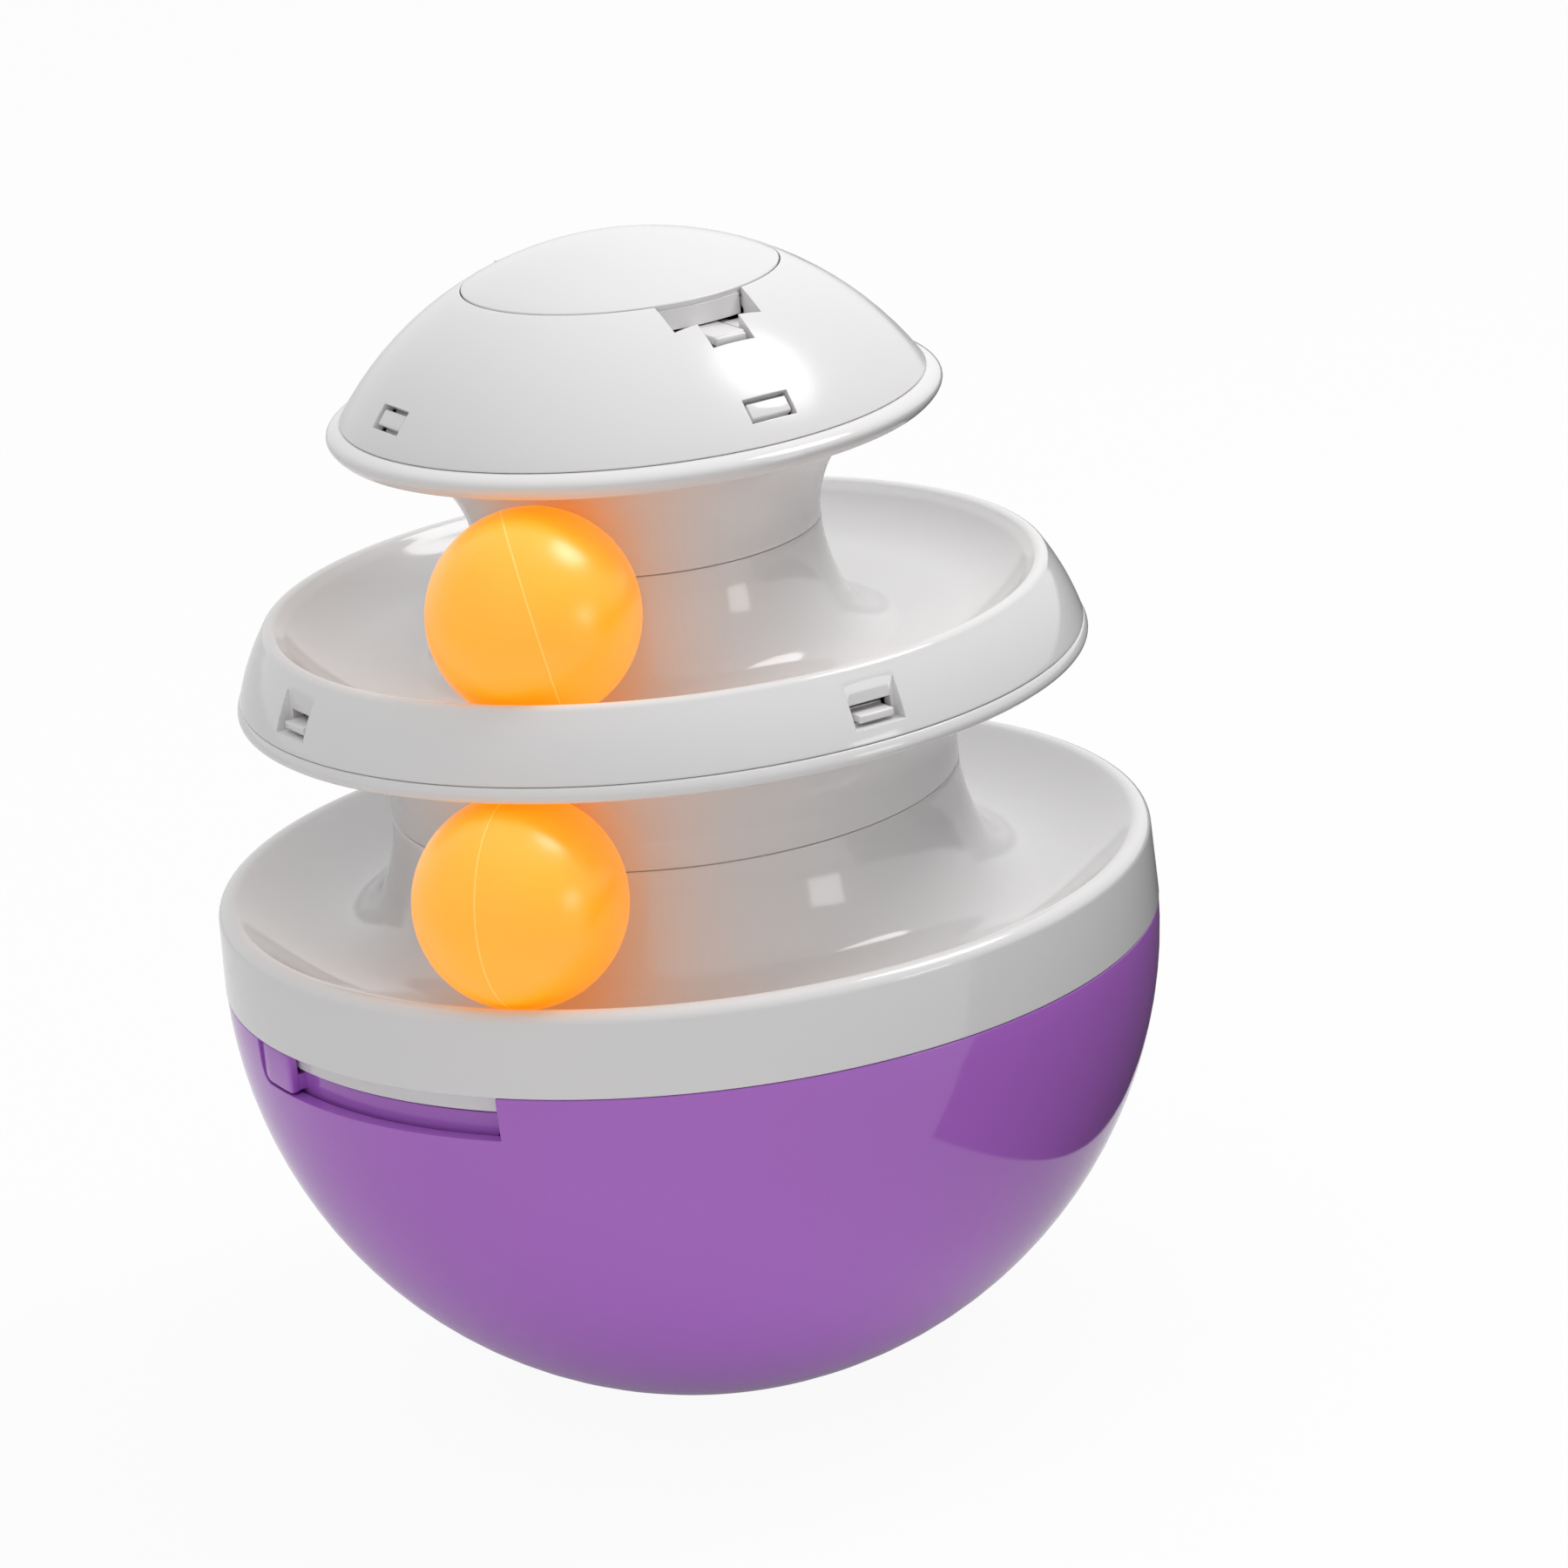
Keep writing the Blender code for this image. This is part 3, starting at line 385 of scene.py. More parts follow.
def add_block(shape, width, inner, outer, low, high, angle=0.0, side=0.0):
    """A box facing an azimuth, between two radii and two heights."""
    shift = Matrix.Translation((side, -(inner + outer) / 2, (low + high) / 2))
    size = Matrix.Diagonal((width, outer - inner, high - low, 1.0))
    bmesh.ops.create_cube(shape, size=1.0, matrix=azimuth(angle) @ shift @ size)


def add_dome_block(shape, width, length, low, high, height, angle):
    """A box lying along the dome's slope, between two distances from the dome's centre."""
    middle = (low + high) / 2
    lean = math.acos((height - DOME_Z) / middle)
    turn = azimuth(angle) @ Matrix.Translation((0.0, 0.0, DOME_Z)) @ Matrix.Rotation(lean, 4, "X")
    size = Matrix.Diagonal((width, length, high - low, 1.0))
    lift = Matrix.Translation((0.0, 0.0, middle))
    bmesh.ops.create_cube(shape, size=1.0, matrix=turn @ lift @ size)


def add_hinge_rod(shape, radius, left, right):
    """A cylinder lying along the lid's hinge axis."""
    middle = Matrix.Translation(((left + right) / 2, HINGE_Y, HINGE_Z))
    bmesh.ops.create_cone(shape, cap_ends=True, segments=ROD_SIDES, radius1=radius, radius2=radius,
                          depth=right - left, matrix=middle @ Matrix.Rotation(math.pi / 2, 4, "Y"))


def add_sector(shape, inner, outer, left, right, low, high, corner=0.0):
    """A curved bar about the tower axis, between two azimuths. Its lower left edge can be rounded."""
    count = max(2, round((right - left) / SECTOR_STEP))
    angles = [math.radians(left + (right - left) * i / count) for i in range(count + 1)]
    angles = [angles[0]] + [a for a in angles[1:] if (a - angles[0]) * inner > CORNER_ROOM * corner]
    ring = [(outer, a) for a in angles] + [(inner, a) for a in reversed(angles)]
    floor = [shape.verts.new((r * math.sin(a), -r * math.cos(a), low)) for r, a in ring]
    face = shape.faces.new(floor)
    raised = bmesh.ops.extrude_face_region(shape, geom=[face])["geom"]
    corners = [item for item in raised if isinstance(item, bmesh.types.BMVert)]
    bmesh.ops.translate(shape, verts=corners, vec=(0.0, 0.0, high - low))
    if corner:
        bmesh.ops.bevel(shape, geom=[shape.edges.get((floor[0], floor[-1]))], offset=corner,
                        segments=CORNER_STEPS, profile=0.5, affect="EDGES")
    bmesh.ops.recalc_face_normals(shape, faces=shape.faces)


def round_blocks(shape, width=EDGE_ROUND):
    """Round every edge of the boxes and bars in a shape that isn't part of a curve."""
    sharp = [e for e in shape.edges if e.calc_face_angle(0.0) > SHARP_ANGLE]
    bmesh.ops.bevel(shape, geom=sharp, offset=width, segments=BLOCK_STEPS, profile=0.5,
                    affect="EDGES", clamp_overlap=True)


def combine(body, shape, operation):
    """Cut a shape from a body or join it on, and keep the result as the body's own mesh."""
    tool = from_bmesh("tool", shape)
    step = body.modifiers.new("step", "BOOLEAN")
    step.operation = operation
    step.solver = "EXACT"
    step.object = tool
    graph = bpy.context.evaluated_depsgraph_get()
    mesh = bpy.data.meshes.new_from_object(body.evaluated_get(graph))
    body.modifiers.clear()
    body.data = mesh
    bpy.data.objects.remove(tool, do_unlink=True)


def taken(piece):
    """The shape of a helper piece, which is then removed."""
    shape = bmesh.new()
    shape.from_mesh(piece.data)
    bpy.data.objects.remove(piece, do_unlink=True)
    return shape


def place(piece, body, node, finish):
    """Shade a finished piece, hang it on its body and let it stand for its CAD node."""
    mesh = piece.data
    mesh.materials.clear()
    mesh.materials.append(finish)
    mesh.shade_smooth()
    mesh.set_sharp_from_angle(angle=SHARP_ANGLE)
    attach(piece, body)
    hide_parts(node)


# Finishes: noise scales per metre, shares of colour drift, spans of roughness, and the strength and depth
# of bumps
NOISE_SPAN = (0.3, 0.7)
FINE_DETAIL = 4.0
BEVEL_SAMPLES = 6
WHITE_COLOUR = (0.80, 0.79, 0.79)
PLASTIC_IOR = 1.5
DRIFT_SCALE = 14.0
GLOSS_SCALE = 55.0
GLOSS_SPAN = (0.8, 1.3)
WAVE_SCALE = 22.0
WAVE_DETAIL = 1.0
WAVE_BUMP = (0.12, 0.0004)
GRAIN_SCALE = 2600.0
GRAIN_BUMP = (0.05, 0.00004)
BALL_DRIFT = 0.03
BALL_DRIFT_SCALE = 40.0
BALL_SATIN = (0.285, 0.345)
BALL_SATIN_SCALE = 120.0
BALL_SPECULAR = 0.9
BALL_SCATTER = 0.35
BALL_SCATTER_COLOUR = (1.0, 0.45, 0.1)
BALL_SCATTER_DEPTH = 0.006
BALL_SEAM_BUMP = (0.4, 0.0001)
BALL_GRAIN_SCALE = 1800.0
BALL_GRAIN_BUMP = (0.06, 0.00004)
# Strength of the balls' painted glow: light they emit though they are no lamp
BALL_PAINTED_GLOW = 0.54
METAL_DRIFT = 0.12
METAL_DRIFT_SCALE = 60.0
METAL_DULL_SCALE = 300.0
METAL_DULL_SPAN = (0.8, 1.25)
METAL_GRAIN_DETAIL = 3.0
METAL_GRAIN_STRENGTH = 0.3


def node_material(name):
    made = bpy.data.materials.new(name)
    made.use_nodes = True
    tree = made.node_tree
    return made, tree, tree.nodes["Principled BSDF"]


def noise(tree, scale, detail=2.0):
    """A noise pattern that stays with the piece."""
    texture = tree.nodes.new("ShaderNodeTexNoise")
    texture.inputs["Scale"].default_value = scale
    texture.inputs["Detail"].default_value = detail
    where = tree.nodes.new("ShaderNodeTexCoord")
    tree.links.new(where.outputs["Object"], texture.inputs["Vector"])
    return texture.outputs["Fac"]


def spread(tree, value, low, high):
    """Map the middle of a noise pattern to a range."""
    node = tree.nodes.new("ShaderNodeMapRange")
    node.inputs["From Min"].default_value = NOISE_SPAN[0]
    node.inputs["From Max"].default_value = NOISE_SPAN[1]
    node.inputs["To Min"].default_value = low
    node.inputs["To Max"].default_value = high
    tree.links.new(value, node.inputs["Value"])
    return node.outputs["Result"]


def tint(tree, factor, colour, share):
    """A colour that varies a little from lighter to darker."""
    mix = tree.nodes.new("ShaderNodeMix")
    mix.data_type = "RGBA"
    mix.inputs["A"].default_value = (*(c * (1.0 - share) for c in colour), 1.0)
    mix.inputs["B"].default_value = (*(min(1.0, c * (1.0 + share)) for c in colour), 1.0)
    tree.links.new(factor, mix.inputs["Factor"])
    return mix.outputs["Result"]


def bump(tree, height, strength, distance, normal=None):
    node = tree.nodes.new("ShaderNodeBump")
    node.inputs["Strength"].default_value = strength
    node.inputs["Distance"].default_value = distance
    tree.links.new(height, node.inputs["Height"])
    if normal:
        tree.links.new(normal, node.inputs["Normal"])
    return node.outputs["Normal"]


def rounded_normal(tree, radius):
    """Edges that a cut left sharp catch the light as moulded edges do."""
    node = tree.nodes.new("ShaderNodeBevel")
    node.samples = BEVEL_SAMPLES
    node.inputs["Radius"].default_value = radius
    return node.outputs["Normal"]


def moulded(name, colour, roughness, share):
    """Gloss moulded plastic: faint colour drift, slow sink waves, fine mould grain and soft edges."""
    made, tree, shader = node_material(name)
    tree.links.new(tint(tree, noise(tree, DRIFT_SCALE), colour, share), shader.inputs["Base Color"])
    gloss = spread(tree, noise(tree, GLOSS_SCALE, FINE_DETAIL), *(roughness * s for s in GLOSS_SPAN))
    tree.links.new(gloss, shader.inputs["Roughness"])
    shader.inputs["IOR"].default_value = PLASTIC_IOR
    waves = bump(tree, noise(tree, WAVE_SCALE, WAVE_DETAIL), *WAVE_BUMP, rounded_normal(tree, EDGE_ROUND))
    grain = bump(tree, noise(tree, GRAIN_SCALE), *GRAIN_BUMP, waves)
    tree.links.new(grain, shader.inputs["Normal"])
    return made


def ball_plastic(name, colour, seam_colour, glow):
    """Thin satin plastic that glows a little, as painted light in place of light through its thin shell,
    with a fine joint line round the ball.
    """
    made, tree, shader = node_material(name)
    where = tree.nodes.new("ShaderNodeTexCoord")
    axes = tree.nodes.new("ShaderNodeSeparateXYZ")
    tree.links.new(where.outputs["Object"], axes.inputs["Vector"])
    away = tree.nodes.new("ShaderNodeMath")
    away.operation = "ABSOLUTE"
    tree.links.new(axes.outputs["Z"], away.inputs[0])
    line = tree.nodes.new("ShaderNodeMapRange")
    line.interpolation_type = "SMOOTHSTEP"
    line.inputs["From Min"].default_value = SEAM_LINE
    line.inputs["From Max"].default_value = SEAM_LINE * 3
    line.inputs["To Min"].default_value = 1.0
    line.inputs["To Max"].default_value = 0.0
    tree.links.new(away.outputs["Value"], line.inputs["Value"])
    mix = tree.nodes.new("ShaderNodeMix")
    mix.data_type = "RGBA"
    mix.inputs["B"].default_value = (*seam_colour, 1.0)
    tree.links.new(line.outputs["Result"], mix.inputs["Factor"])
    tree.links.new(tint(tree, noise(tree, BALL_DRIFT_SCALE), colour, BALL_DRIFT), mix.inputs["A"])
    tree.links.new(mix.outputs["Result"], shader.inputs["Base Color"])
    satin = spread(tree, noise(tree, BALL_SATIN_SCALE, FINE_DETAIL), *BALL_SATIN)
    tree.links.new(satin, shader.inputs["Roughness"])
    shader.inputs["Specular IOR Level"].default_value = BALL_SPECULAR
    shader.inputs["Subsurface Weight"].default_value = BALL_SCATTER
    shader.inputs["Subsurface Radius"].default_value = BALL_SCATTER_COLOUR
    shader.inputs["Subsurface Scale"].default_value = BALL_SCATTER_DEPTH
    raised = bump(tree, line.outputs["Result"], *BALL_SEAM_BUMP)
    grain = bump(tree, noise(tree, BALL_GRAIN_SCALE), *BALL_GRAIN_BUMP, raised)
    tree.links.new(grain, shader.inputs["Normal"])
    # Painted glow: the ball emits light that brightens its shaded side and tints the white parts near it
    # orange
    shader.inputs["Emission Color"].default_value = (*glow, 1.0)
    shader.inputs["Emission Strength"].default_value = BALL_PAINTED_GLOW
    return made


def metal(name, colour, roughness, grain_scale, depth):
    """Plain metal with a grain."""
    made, tree, shader = node_material(name)
    shader.inputs["Metallic"].default_value = 1.0
    drift = tint(tree, noise(tree, METAL_DRIFT_SCALE, FINE_DETAIL), colour, METAL_DRIFT)
    tree.links.new(drift, shader.inputs["Base Color"])
    pattern = noise(tree, METAL_DULL_SCALE, FINE_DETAIL)
    dull = spread(tree, pattern, *(roughness * s for s in METAL_DULL_SPAN))
    tree.links.new(dull, shader.inputs["Roughness"])
    grain = bump(tree, noise(tree, grain_scale, METAL_GRAIN_DETAIL), METAL_GRAIN_STRENGTH, depth)
    tree.links.new(grain, shader.inputs["Normal"])
    return made


WHITE = moulded("white_gloss", WHITE_COLOUR, roughness=0.09, share=0.012)
DOME_WHITE = moulded("white_satin", WHITE_COLOUR, roughness=0.20, share=0.005)
PURPLE = moulded("purple_gloss", (0.455, 0.15, 0.64), roughness=0.07, share=0.03)
# glow is the colour of the balls' painted glow, emitted light in place of light through the thin shell
ORANGE = ball_plastic("orange_satin", (1.0, 0.42, 0.01), seam_colour=(1.0, 0.62, 0.16),
                      glow=(1.0, 0.30, 0.0))
STEEL = metal("plain_steel", (0.55, 0.55, 0.57), roughness=0.32, grain_scale=900.0, depth=0.00003)
IRON = metal("raw_iron", (0.20, 0.20, 0.21), roughness=0.6, grain_scale=350.0, depth=0.0002)


def dress_base_shell():
    """The purple bowl with its slider ledge and treat notch."""
    top = BASE_SEAM_Z - SEAM_GAP / 2
    ledge = base_reach(LEDGE_Z) - LEDGE_WIDTH
    ledge_low = LEDGE_Z - LEDGE_THICK
    profile = [(0.0, base_depth(FLOOR_RADIUS))]
    profile += sphere_arc(BASE_INNER, SPHERE_Z, FLOOR_RADIUS, base_reach(ledge_low - LEDGE_THICK), False)
    profile += [(ledge, ledge_low), (ledge, LEDGE_Z), (base_reach(LEDGE_Z), LEDGE_Z), (base_reach(top), top)]
    profile += sphere_arc(SPHERE_RADIUS, SPHERE_Z, base_reach(top, SPHERE_RADIUS), FOOT_RADIUS, False)
    profile += [(0.0, 0.0)]
    body = turned("bowl", profile, False)
    notch = bmesh.new()
    add_sector(notch, base_reach(LEDGE_Z) - PAST, SPHERE_RADIUS + PAST, NOTCH_LEFT, NOTCH_RIGHT,
               NOTCH_Z, BASE_SEAM_Z + PAST, NOTCH_CORNER)
    combine(body, notch, "DIFFERENCE")
    place(body, "tower", "base_shell", PURPLE)


def dress_outlet_slider():
    """A curved shutter inside the shell, which closes the notch, with a thumb tab in the notch."""
    left = NOTCH_LEFT + TAB_PLAY
    right = left + TAB_ANGLE
    low = LEDGE_Z + GAP
    outer = base_reach(low) - SLIP
    high = PLUG_Z - SLIP
    shutter = bmesh.new()
    add_sector(shutter, outer - SHUTTER_WALL, outer, left, NOTCH_RIGHT + SHUTTER_LAP, low, high)
    body = from_bmesh("outlet_shutter", shutter)
    neck = bmesh.new()
    add_sector(neck, outer - SHUTTER_WALL / 2, BASE_INNER + BITE, left + TAB_NECK_INSET,
               right - TAB_NECK_INSET, NOTCH_Z + 2 * EDGE, high - GAP, NOTCH_CORNER)
    combine(body, neck, "UNION")
    tab = bmesh.new()
    add_sector(tab, BASE_INNER, SPHERE_RADIUS - SLIP, left, right, NOTCH_Z + EDGE, BASE_SEAM_Z - EDGE,
               NOTCH_CORNER)
    round_blocks(tab, TAB_ROUND)
    combine(body, tab, "UNION")
    place(body, "outlet_slider", "outlet_slider", PURPLE)


def dress_lower_track():
    """The white band with its plug skirt, the lower ball channel and the lower half of its neck."""
    bottom = BASE_SEAM_Z + SEAM_GAP / 2
    plug = BASE_INNER - SLIP
    plug_inner = plug - PLUG_WALL
    band_inner = BAND_RADIUS - BAND_WALL
    neck_top = LOWER_NECK_SEAM_Z - SEAM_GAP / 2
    bore = LOWER_NECK_RADIUS - SKIN
    neck, fillet = flare(LOWER_NECK_RADIUS, neck_top, LOWER_FLOOR_Z)
    rim = arc(LOWER_RIM, RIM_ROUND, RIM_TURN, 0.0, RIM_STEP)
    bed = parabola(neck[-1], rim[0], BED_STEPS, level=True)[1:-1]
    profile = rim + [(BAND_RADIUS, bottom)]
    profile += [(plug, bottom), (plug, PLUG_Z), (plug_inner, PLUG_Z), (plug_inner, bottom + SKIN)]
    profile += [(band_inner, bottom + SKIN + BAND_WALL), (band_inner, LOWER_RIM[1] - SKIN)]
    profile += [(r, z - SKIN) for r, z in reversed(bed[:BED_UNDER_POINTS])]
    profile += flare_inside(bore, neck_top - SOCKET_DEPTH, fillet)
    profile += [(bore, neck_top)] + neck + bed
    place(turned("lower_channel", profile, True), "tower", "lower_track", WHITE)


def dress_upper_track_base():
    """The under-cover of the upper track: lip, ball roof, upper half of the lower neck and clips."""
    top = TRACK_SEAM_Z - SEAM_GAP / 2
    centre = (LOWER_BALL_R, LOWER_BALL_Z)
    neck = LOWER_NECK_SEAM_Z + SEAM_GAP / 2
    spigot = LOWER_NECK_RADIUS - SKIN - GAP
    spigot_inner = spigot - SPIGOT_WALL
    foot = neck - SPIGOT_LENGTH
    collar = TRACK_RADIUS - TRACK_COLLAR_INSET
    collar_inner = collar - SPIGOT_WALL
    collar_top = top + TRACK_COLLAR_RISE
    profile = [(collar, collar_top), (collar, top)]
    profile += bulge((TRACK_RADIUS, top), (TRACK_RADIUS - TRACK_LIP_TUCK, COVER_Z), TRACK_LIP_BULGE)
    profile += arc(centre, ROOF_RADIUS, *COVER_ARC)
    profile += [(LOWER_NECK_RADIUS, neck), (spigot, neck), (spigot, foot), (spigot_inner, foot)]
    profile += [(spigot_inner, neck)]
    profile += arc(centre, ROOF_RADIUS + SKIN, *COVER_TOP_ARC)
    profile += [(collar_inner, COVER_Z + SKIN), (collar_inner, collar_top)]
    body = turned("track_under_cover", profile, True)
    hook = CLIP_BACK - CLIP_PAD_WALL - EDGE
    barb_high = TRACK_BARB_Z + TRACK_BARB_HEIGHT
    hooks = bmesh.new()
    barbs = bmesh.new()
    for angle in CLIP_AZIMUTHS:
        add_block(hooks, HOOK_WIDTH, hook - HOOK_WALL, hook, COVER_Z + SKIN / 2, barb_high + GAP, angle)
        add_block(barbs, TRACK_BARB_WIDTH, hook - HOOK_WALL / 2, CLIP_BACK + CLIP_PAD_WALL,
                  TRACK_BARB_Z, barb_high, angle)
    round_blocks(barbs)
    combine(body, hooks, "UNION")
    combine(body, barbs, "UNION")
    place(body, "tower", "upper_track_base", WHITE)


def dress_upper_track():
    """The upper ball channel with its leaning rim wall and the lower half of the upper neck."""
    bottom = TRACK_SEAM_Z + SEAM_GAP / 2
    neck_top = UPPER_NECK_SEAM_Z - SEAM_GAP / 2
    bore = UPPER_NECK_RADIUS - SKIN
    centre = (UPPER_BALL_R, UPPER_BALL_Z)
    neck, fillet = flare(UPPER_NECK_RADIUS, neck_top, UPPER_FLOOR_Z)
    rim = arc(UPPER_RIM, UPPER_RIM_ROUND, 180.0 - UPPER_BED_ANGLE, UPPER_RIM_TURN, RIM_STEP)
    wall = bulge(rim[-1], (TRACK_RADIUS, bottom), TRACK_WALL_BOW)
    profile = rim + wall[1:]
    profile += [(r - SKIN, z) for r, z in wall[:WALL_INNER_SKIP:-1]]
    profile += arc(centre, ROOF_RADIUS + SKIN, -UPPER_BED_ANGLE - UPPER_UNDER_LEAD, UPPER_UNDER_END)
    profile += flare_inside(bore, neck_top - SOCKET_DEPTH, fillet)
    profile += [(bore, neck_top)] + neck
    profile += arc(centre, ROOF_RADIUS, UPPER_BED_START, -UPPER_BED_ANGLE)[:-1]
    body = turned("upper_channel", profile, True)
    pads, pockets, slits = bmesh.new(), bmesh.new(), bmesh.new()
    slit = CLIP_SILL_Z + GAP
    for angle in CLIP_AZIMUTHS:
        add_block(pads, CLIP_WIDTH + 2 * CLIP_PAD_SIDE, CLIP_BACK - CLIP_PAD_WALL, CLIP_BACK + HOOK_WALL,
                  CLIP_SILL_Z - HOOK_WALL, UPPER_RIM_Z - PAST, angle)
        add_block(pockets, CLIP_WIDTH, CLIP_BACK, TRACK_RADIUS + PAST, CLIP_SILL_Z, UPPER_RIM_Z, angle)
        add_block(slits, CLIP_SLIT_WIDTH, CLIP_BACK - PAST, TRACK_RADIUS + PAST,
                  slit, slit + CLIP_SLIT_HEIGHT, angle)
    core = [(0.0, wall[0][1])] + [(r - SKIN / 2, z) for r, z in wall] + [(0.0, bottom)]
    backing = from_bmesh("clip_backing", pads)
    combine(backing, taken(turned("track_core", core, False)), "INTERSECT")
    combine(body, taken(backing), "UNION")
    combine(body, pockets, "DIFFERENCE")
    combine(body, slits, "DIFFERENCE")
    place(body, "tower", "upper_track", WHITE)


def dress_dome_base():
    """The dish under the treat dome: lip, ball roof, upper half of the upper neck and clips."""
    top = DOME_SEAM_Z - SEAM_GAP / 2
    centre = (UPPER_BALL_R, UPPER_BALL_Z)
    neck = UPPER_NECK_SEAM_Z + SEAM_GAP / 2
    spigot = UPPER_NECK_RADIUS - SKIN - GAP
    spigot_inner = spigot - SPIGOT_WALL
    foot = neck - SPIGOT_LENGTH
    collar = DOME_SEAM_RADIUS - DOME_COLLAR_INSET
    collar_top = top + DOME_COLLAR_RISE
    tuck = (DOME_SEAM_RADIUS + DOME_LIP_TUCK, UPPER_BALL_Z + DISH_RADIUS)
    profile = [(collar, collar_top), (collar, top)]
    profile += bulge((DOME_SEAM_RADIUS, top), tuck, DOME_LIP_BULGE)
    profile += arc(centre, DISH_RADIUS, *DISH_ARC)
    profile += [(UPPER_NECK_RADIUS, neck), (spigot, neck), (spigot, foot), (spigot_inner, foot)]
    profile += [(spigot_inner, neck)]
    profile += arc(centre, DISH_RADIUS + SKIN, *DISH_TOP_ARC)
    profile += [(collar - SPIGOT_WALL, collar_top)]
    body = turned("dome_dish", profile, True)
    hook = DOME_INNER - SLIP
    hooks, barbs = bmesh.new(), bmesh.new()
    for angle in CLIP_AZIMUTHS:
        add_dome_block(hooks, HOOK_WIDTH, DOME_HOOK_LENGTH, hook - HOOK_WALL, hook, DOME_HOOK_Z, angle)
        add_dome_block(barbs, DOME_BARB_WIDTH, DOME_BARB_LENGTH, hook - HOOK_WALL / 2,
                       DOME_RADIUS - SLIP, DOME_BARB_Z, angle)
    round_blocks(barbs)
    combine(body, hooks, "UNION")
    combine(body, barbs, "UNION")
    place(body, "tower", "dome_base", WHITE)


def dress_dome_shell():
    """The white dome: lid seat, finger recess, latch slot, hinge lugs and clip windows."""
    bottom = DOME_SEAM_Z + SEAM_GAP / 2
    mouth = LID_RADIUS + SEAM_GAP
    seat = mouth - SEAT_WIDTH
    seat_z = dome_height(seat, DOME_INNER) - GAP
    seat_low = seat_z - SEAT_THICK
    profile = sphere_arc(DOME_RADIUS, DOME_Z, mouth, dome_reach(bottom))
    profile += sphere_arc(DOME_INNER, DOME_Z, dome_reach(bottom, DOME_INNER), mouth + SEAT_ROOT)
    profile += [(mouth, seat_low - SEAT_THICK / 2), (seat, seat_low), (seat, seat_z)]
    profile += [(mouth, dome_height(mouth, DOME_INNER) - GAP)]
    body = turned("dome", profile, True)

    above = LID_EDGE_Z + THROUGH
    within = LID_RADIUS - THROUGH
    core_sphere = DOME_RADIUS - SKIN / 2
    core_profile = sphere_arc(core_sphere, DOME_Z, 0.0, dome_reach(DOME_SEAM_Z, core_sphere))
    core = taken(turned("core", [*core_profile, (0.0, DOME_SEAM_Z)], False))
    boxes = bmesh.new()
    add_block(boxes, RECESS_WIDTH + 2 * RECESS_WALL, LID_RADIUS - SKIN / 2, RECESS_REACH + RECESS_WALL,
              RECESS_Z - RECESS_WALL, above)
    housing = from_bmesh("housing", boxes)
    slot_box = bmesh.new()
    add_block(slot_box, SLOT_WIDTH + 2 * RECESS_WALL, LID_RADIUS - SKIN, SLOT_REACH + RECESS_WALL,
              SLOT_Z - RECESS_WALL, above)
    combine(housing, slot_box, "UNION")
    combine(housing, core, "INTERSECT")
    combine(body, taken(housing), "UNION")
    recess = bmesh.new()
    add_block(recess, RECESS_WIDTH, within, RECESS_REACH, RECESS_Z, above)
    combine(body, recess, "DIFFERENCE")
    slot = bmesh.new()
    add_block(slot, SLOT_WIDTH, within, SLOT_REACH, SLOT_Z, above)
    combine(body, slot, "DIFFERENCE")

    inner = KNUCKLE_HALF + GAP
    lugs = bmesh.new()
    for side in (-1.0, 1.0):
        add_hinge_rod(lugs, KNUCKLE_RADIUS, *sorted((side * inner, side * HINGE_HALF)))
    combine(body, lugs, "UNION")
    relief = bmesh.new()
    add_block(relief, 2 * inner, within, LID_RADIUS + HINGE_RELIEF, HINGE_Z - HINGE_RELIEF_DROP, above,
              180.0)
    combine(body, relief, "DIFFERENCE")
    bore = bmesh.new()
    add_hinge_rod(bore, PIN_BORE, -HINGE_HALF - SLIP, HINGE_HALF + SLIP)
    combine(body, bore, "DIFFERENCE")
    windows = bmesh.new()
    for angle in CLIP_AZIMUTHS:
        add_dome_block(windows, WINDOW_WIDTH, WINDOW_LENGTH, DOME_INNER - PAST, DOME_RADIUS + PAST,
                       WINDOW_Z, angle)
    combine(body, windows, "DIFFERENCE")
    place(body, "tower", "dome_shell", DOME_WHITE)


def dress_lid():
    """The flush round lid with its front skirt and hinge knuckle."""
    profile = sphere_arc(DOME_RADIUS, DOME_Z, 0.0, LID_RADIUS)
    profile += sphere_arc(DOME_INNER, DOME_Z, LID_RADIUS - LID_TAPER, 0.0)
    body = turned("treat_lid", profile, False)
    apron = bmesh.new()
    add_sector(apron, LID_RADIUS - SKIRT_WALL, LID_RADIUS, -SKIRT_ANGLE, SKIRT_ANGLE,
               LID_EDGE_Z - SKIRT_DEPTH, LID_EDGE_Z - SKIN / 2)
    combine(body, apron, "UNION")
    clear = HINGE_HALF + HINGE_END_CLEAR - KNUCKLE_HALF
    hollow = HINGE_Y - KNUCKLE_RADIUS - EDGE
    notches = bmesh.new()
    for side in (-1.0, 1.0):
        add_block(notches, clear, hollow, hollow + THROUGH, HINGE_Z - THROUGH, HINGE_Z + THROUGH, 180.0,
                  side * (KNUCKLE_HALF + clear / 2))
    combine(body, notches, "DIFFERENCE")
    knuckle = bmesh.new()
    add_hinge_rod(knuckle, KNUCKLE_RADIUS, -KNUCKLE_HALF + GAP / 3, KNUCKLE_HALF - GAP / 3)
    combine(body, knuckle, "UNION")
    bore = bmesh.new()
    add_hinge_rod(bore, PIN_BORE, -KNUCKLE_HALF - PAST, KNUCKLE_HALF + PAST)
    combine(body, bore, "DIFFERENCE")
    place(body, "lid", "lid", DOME_WHITE)


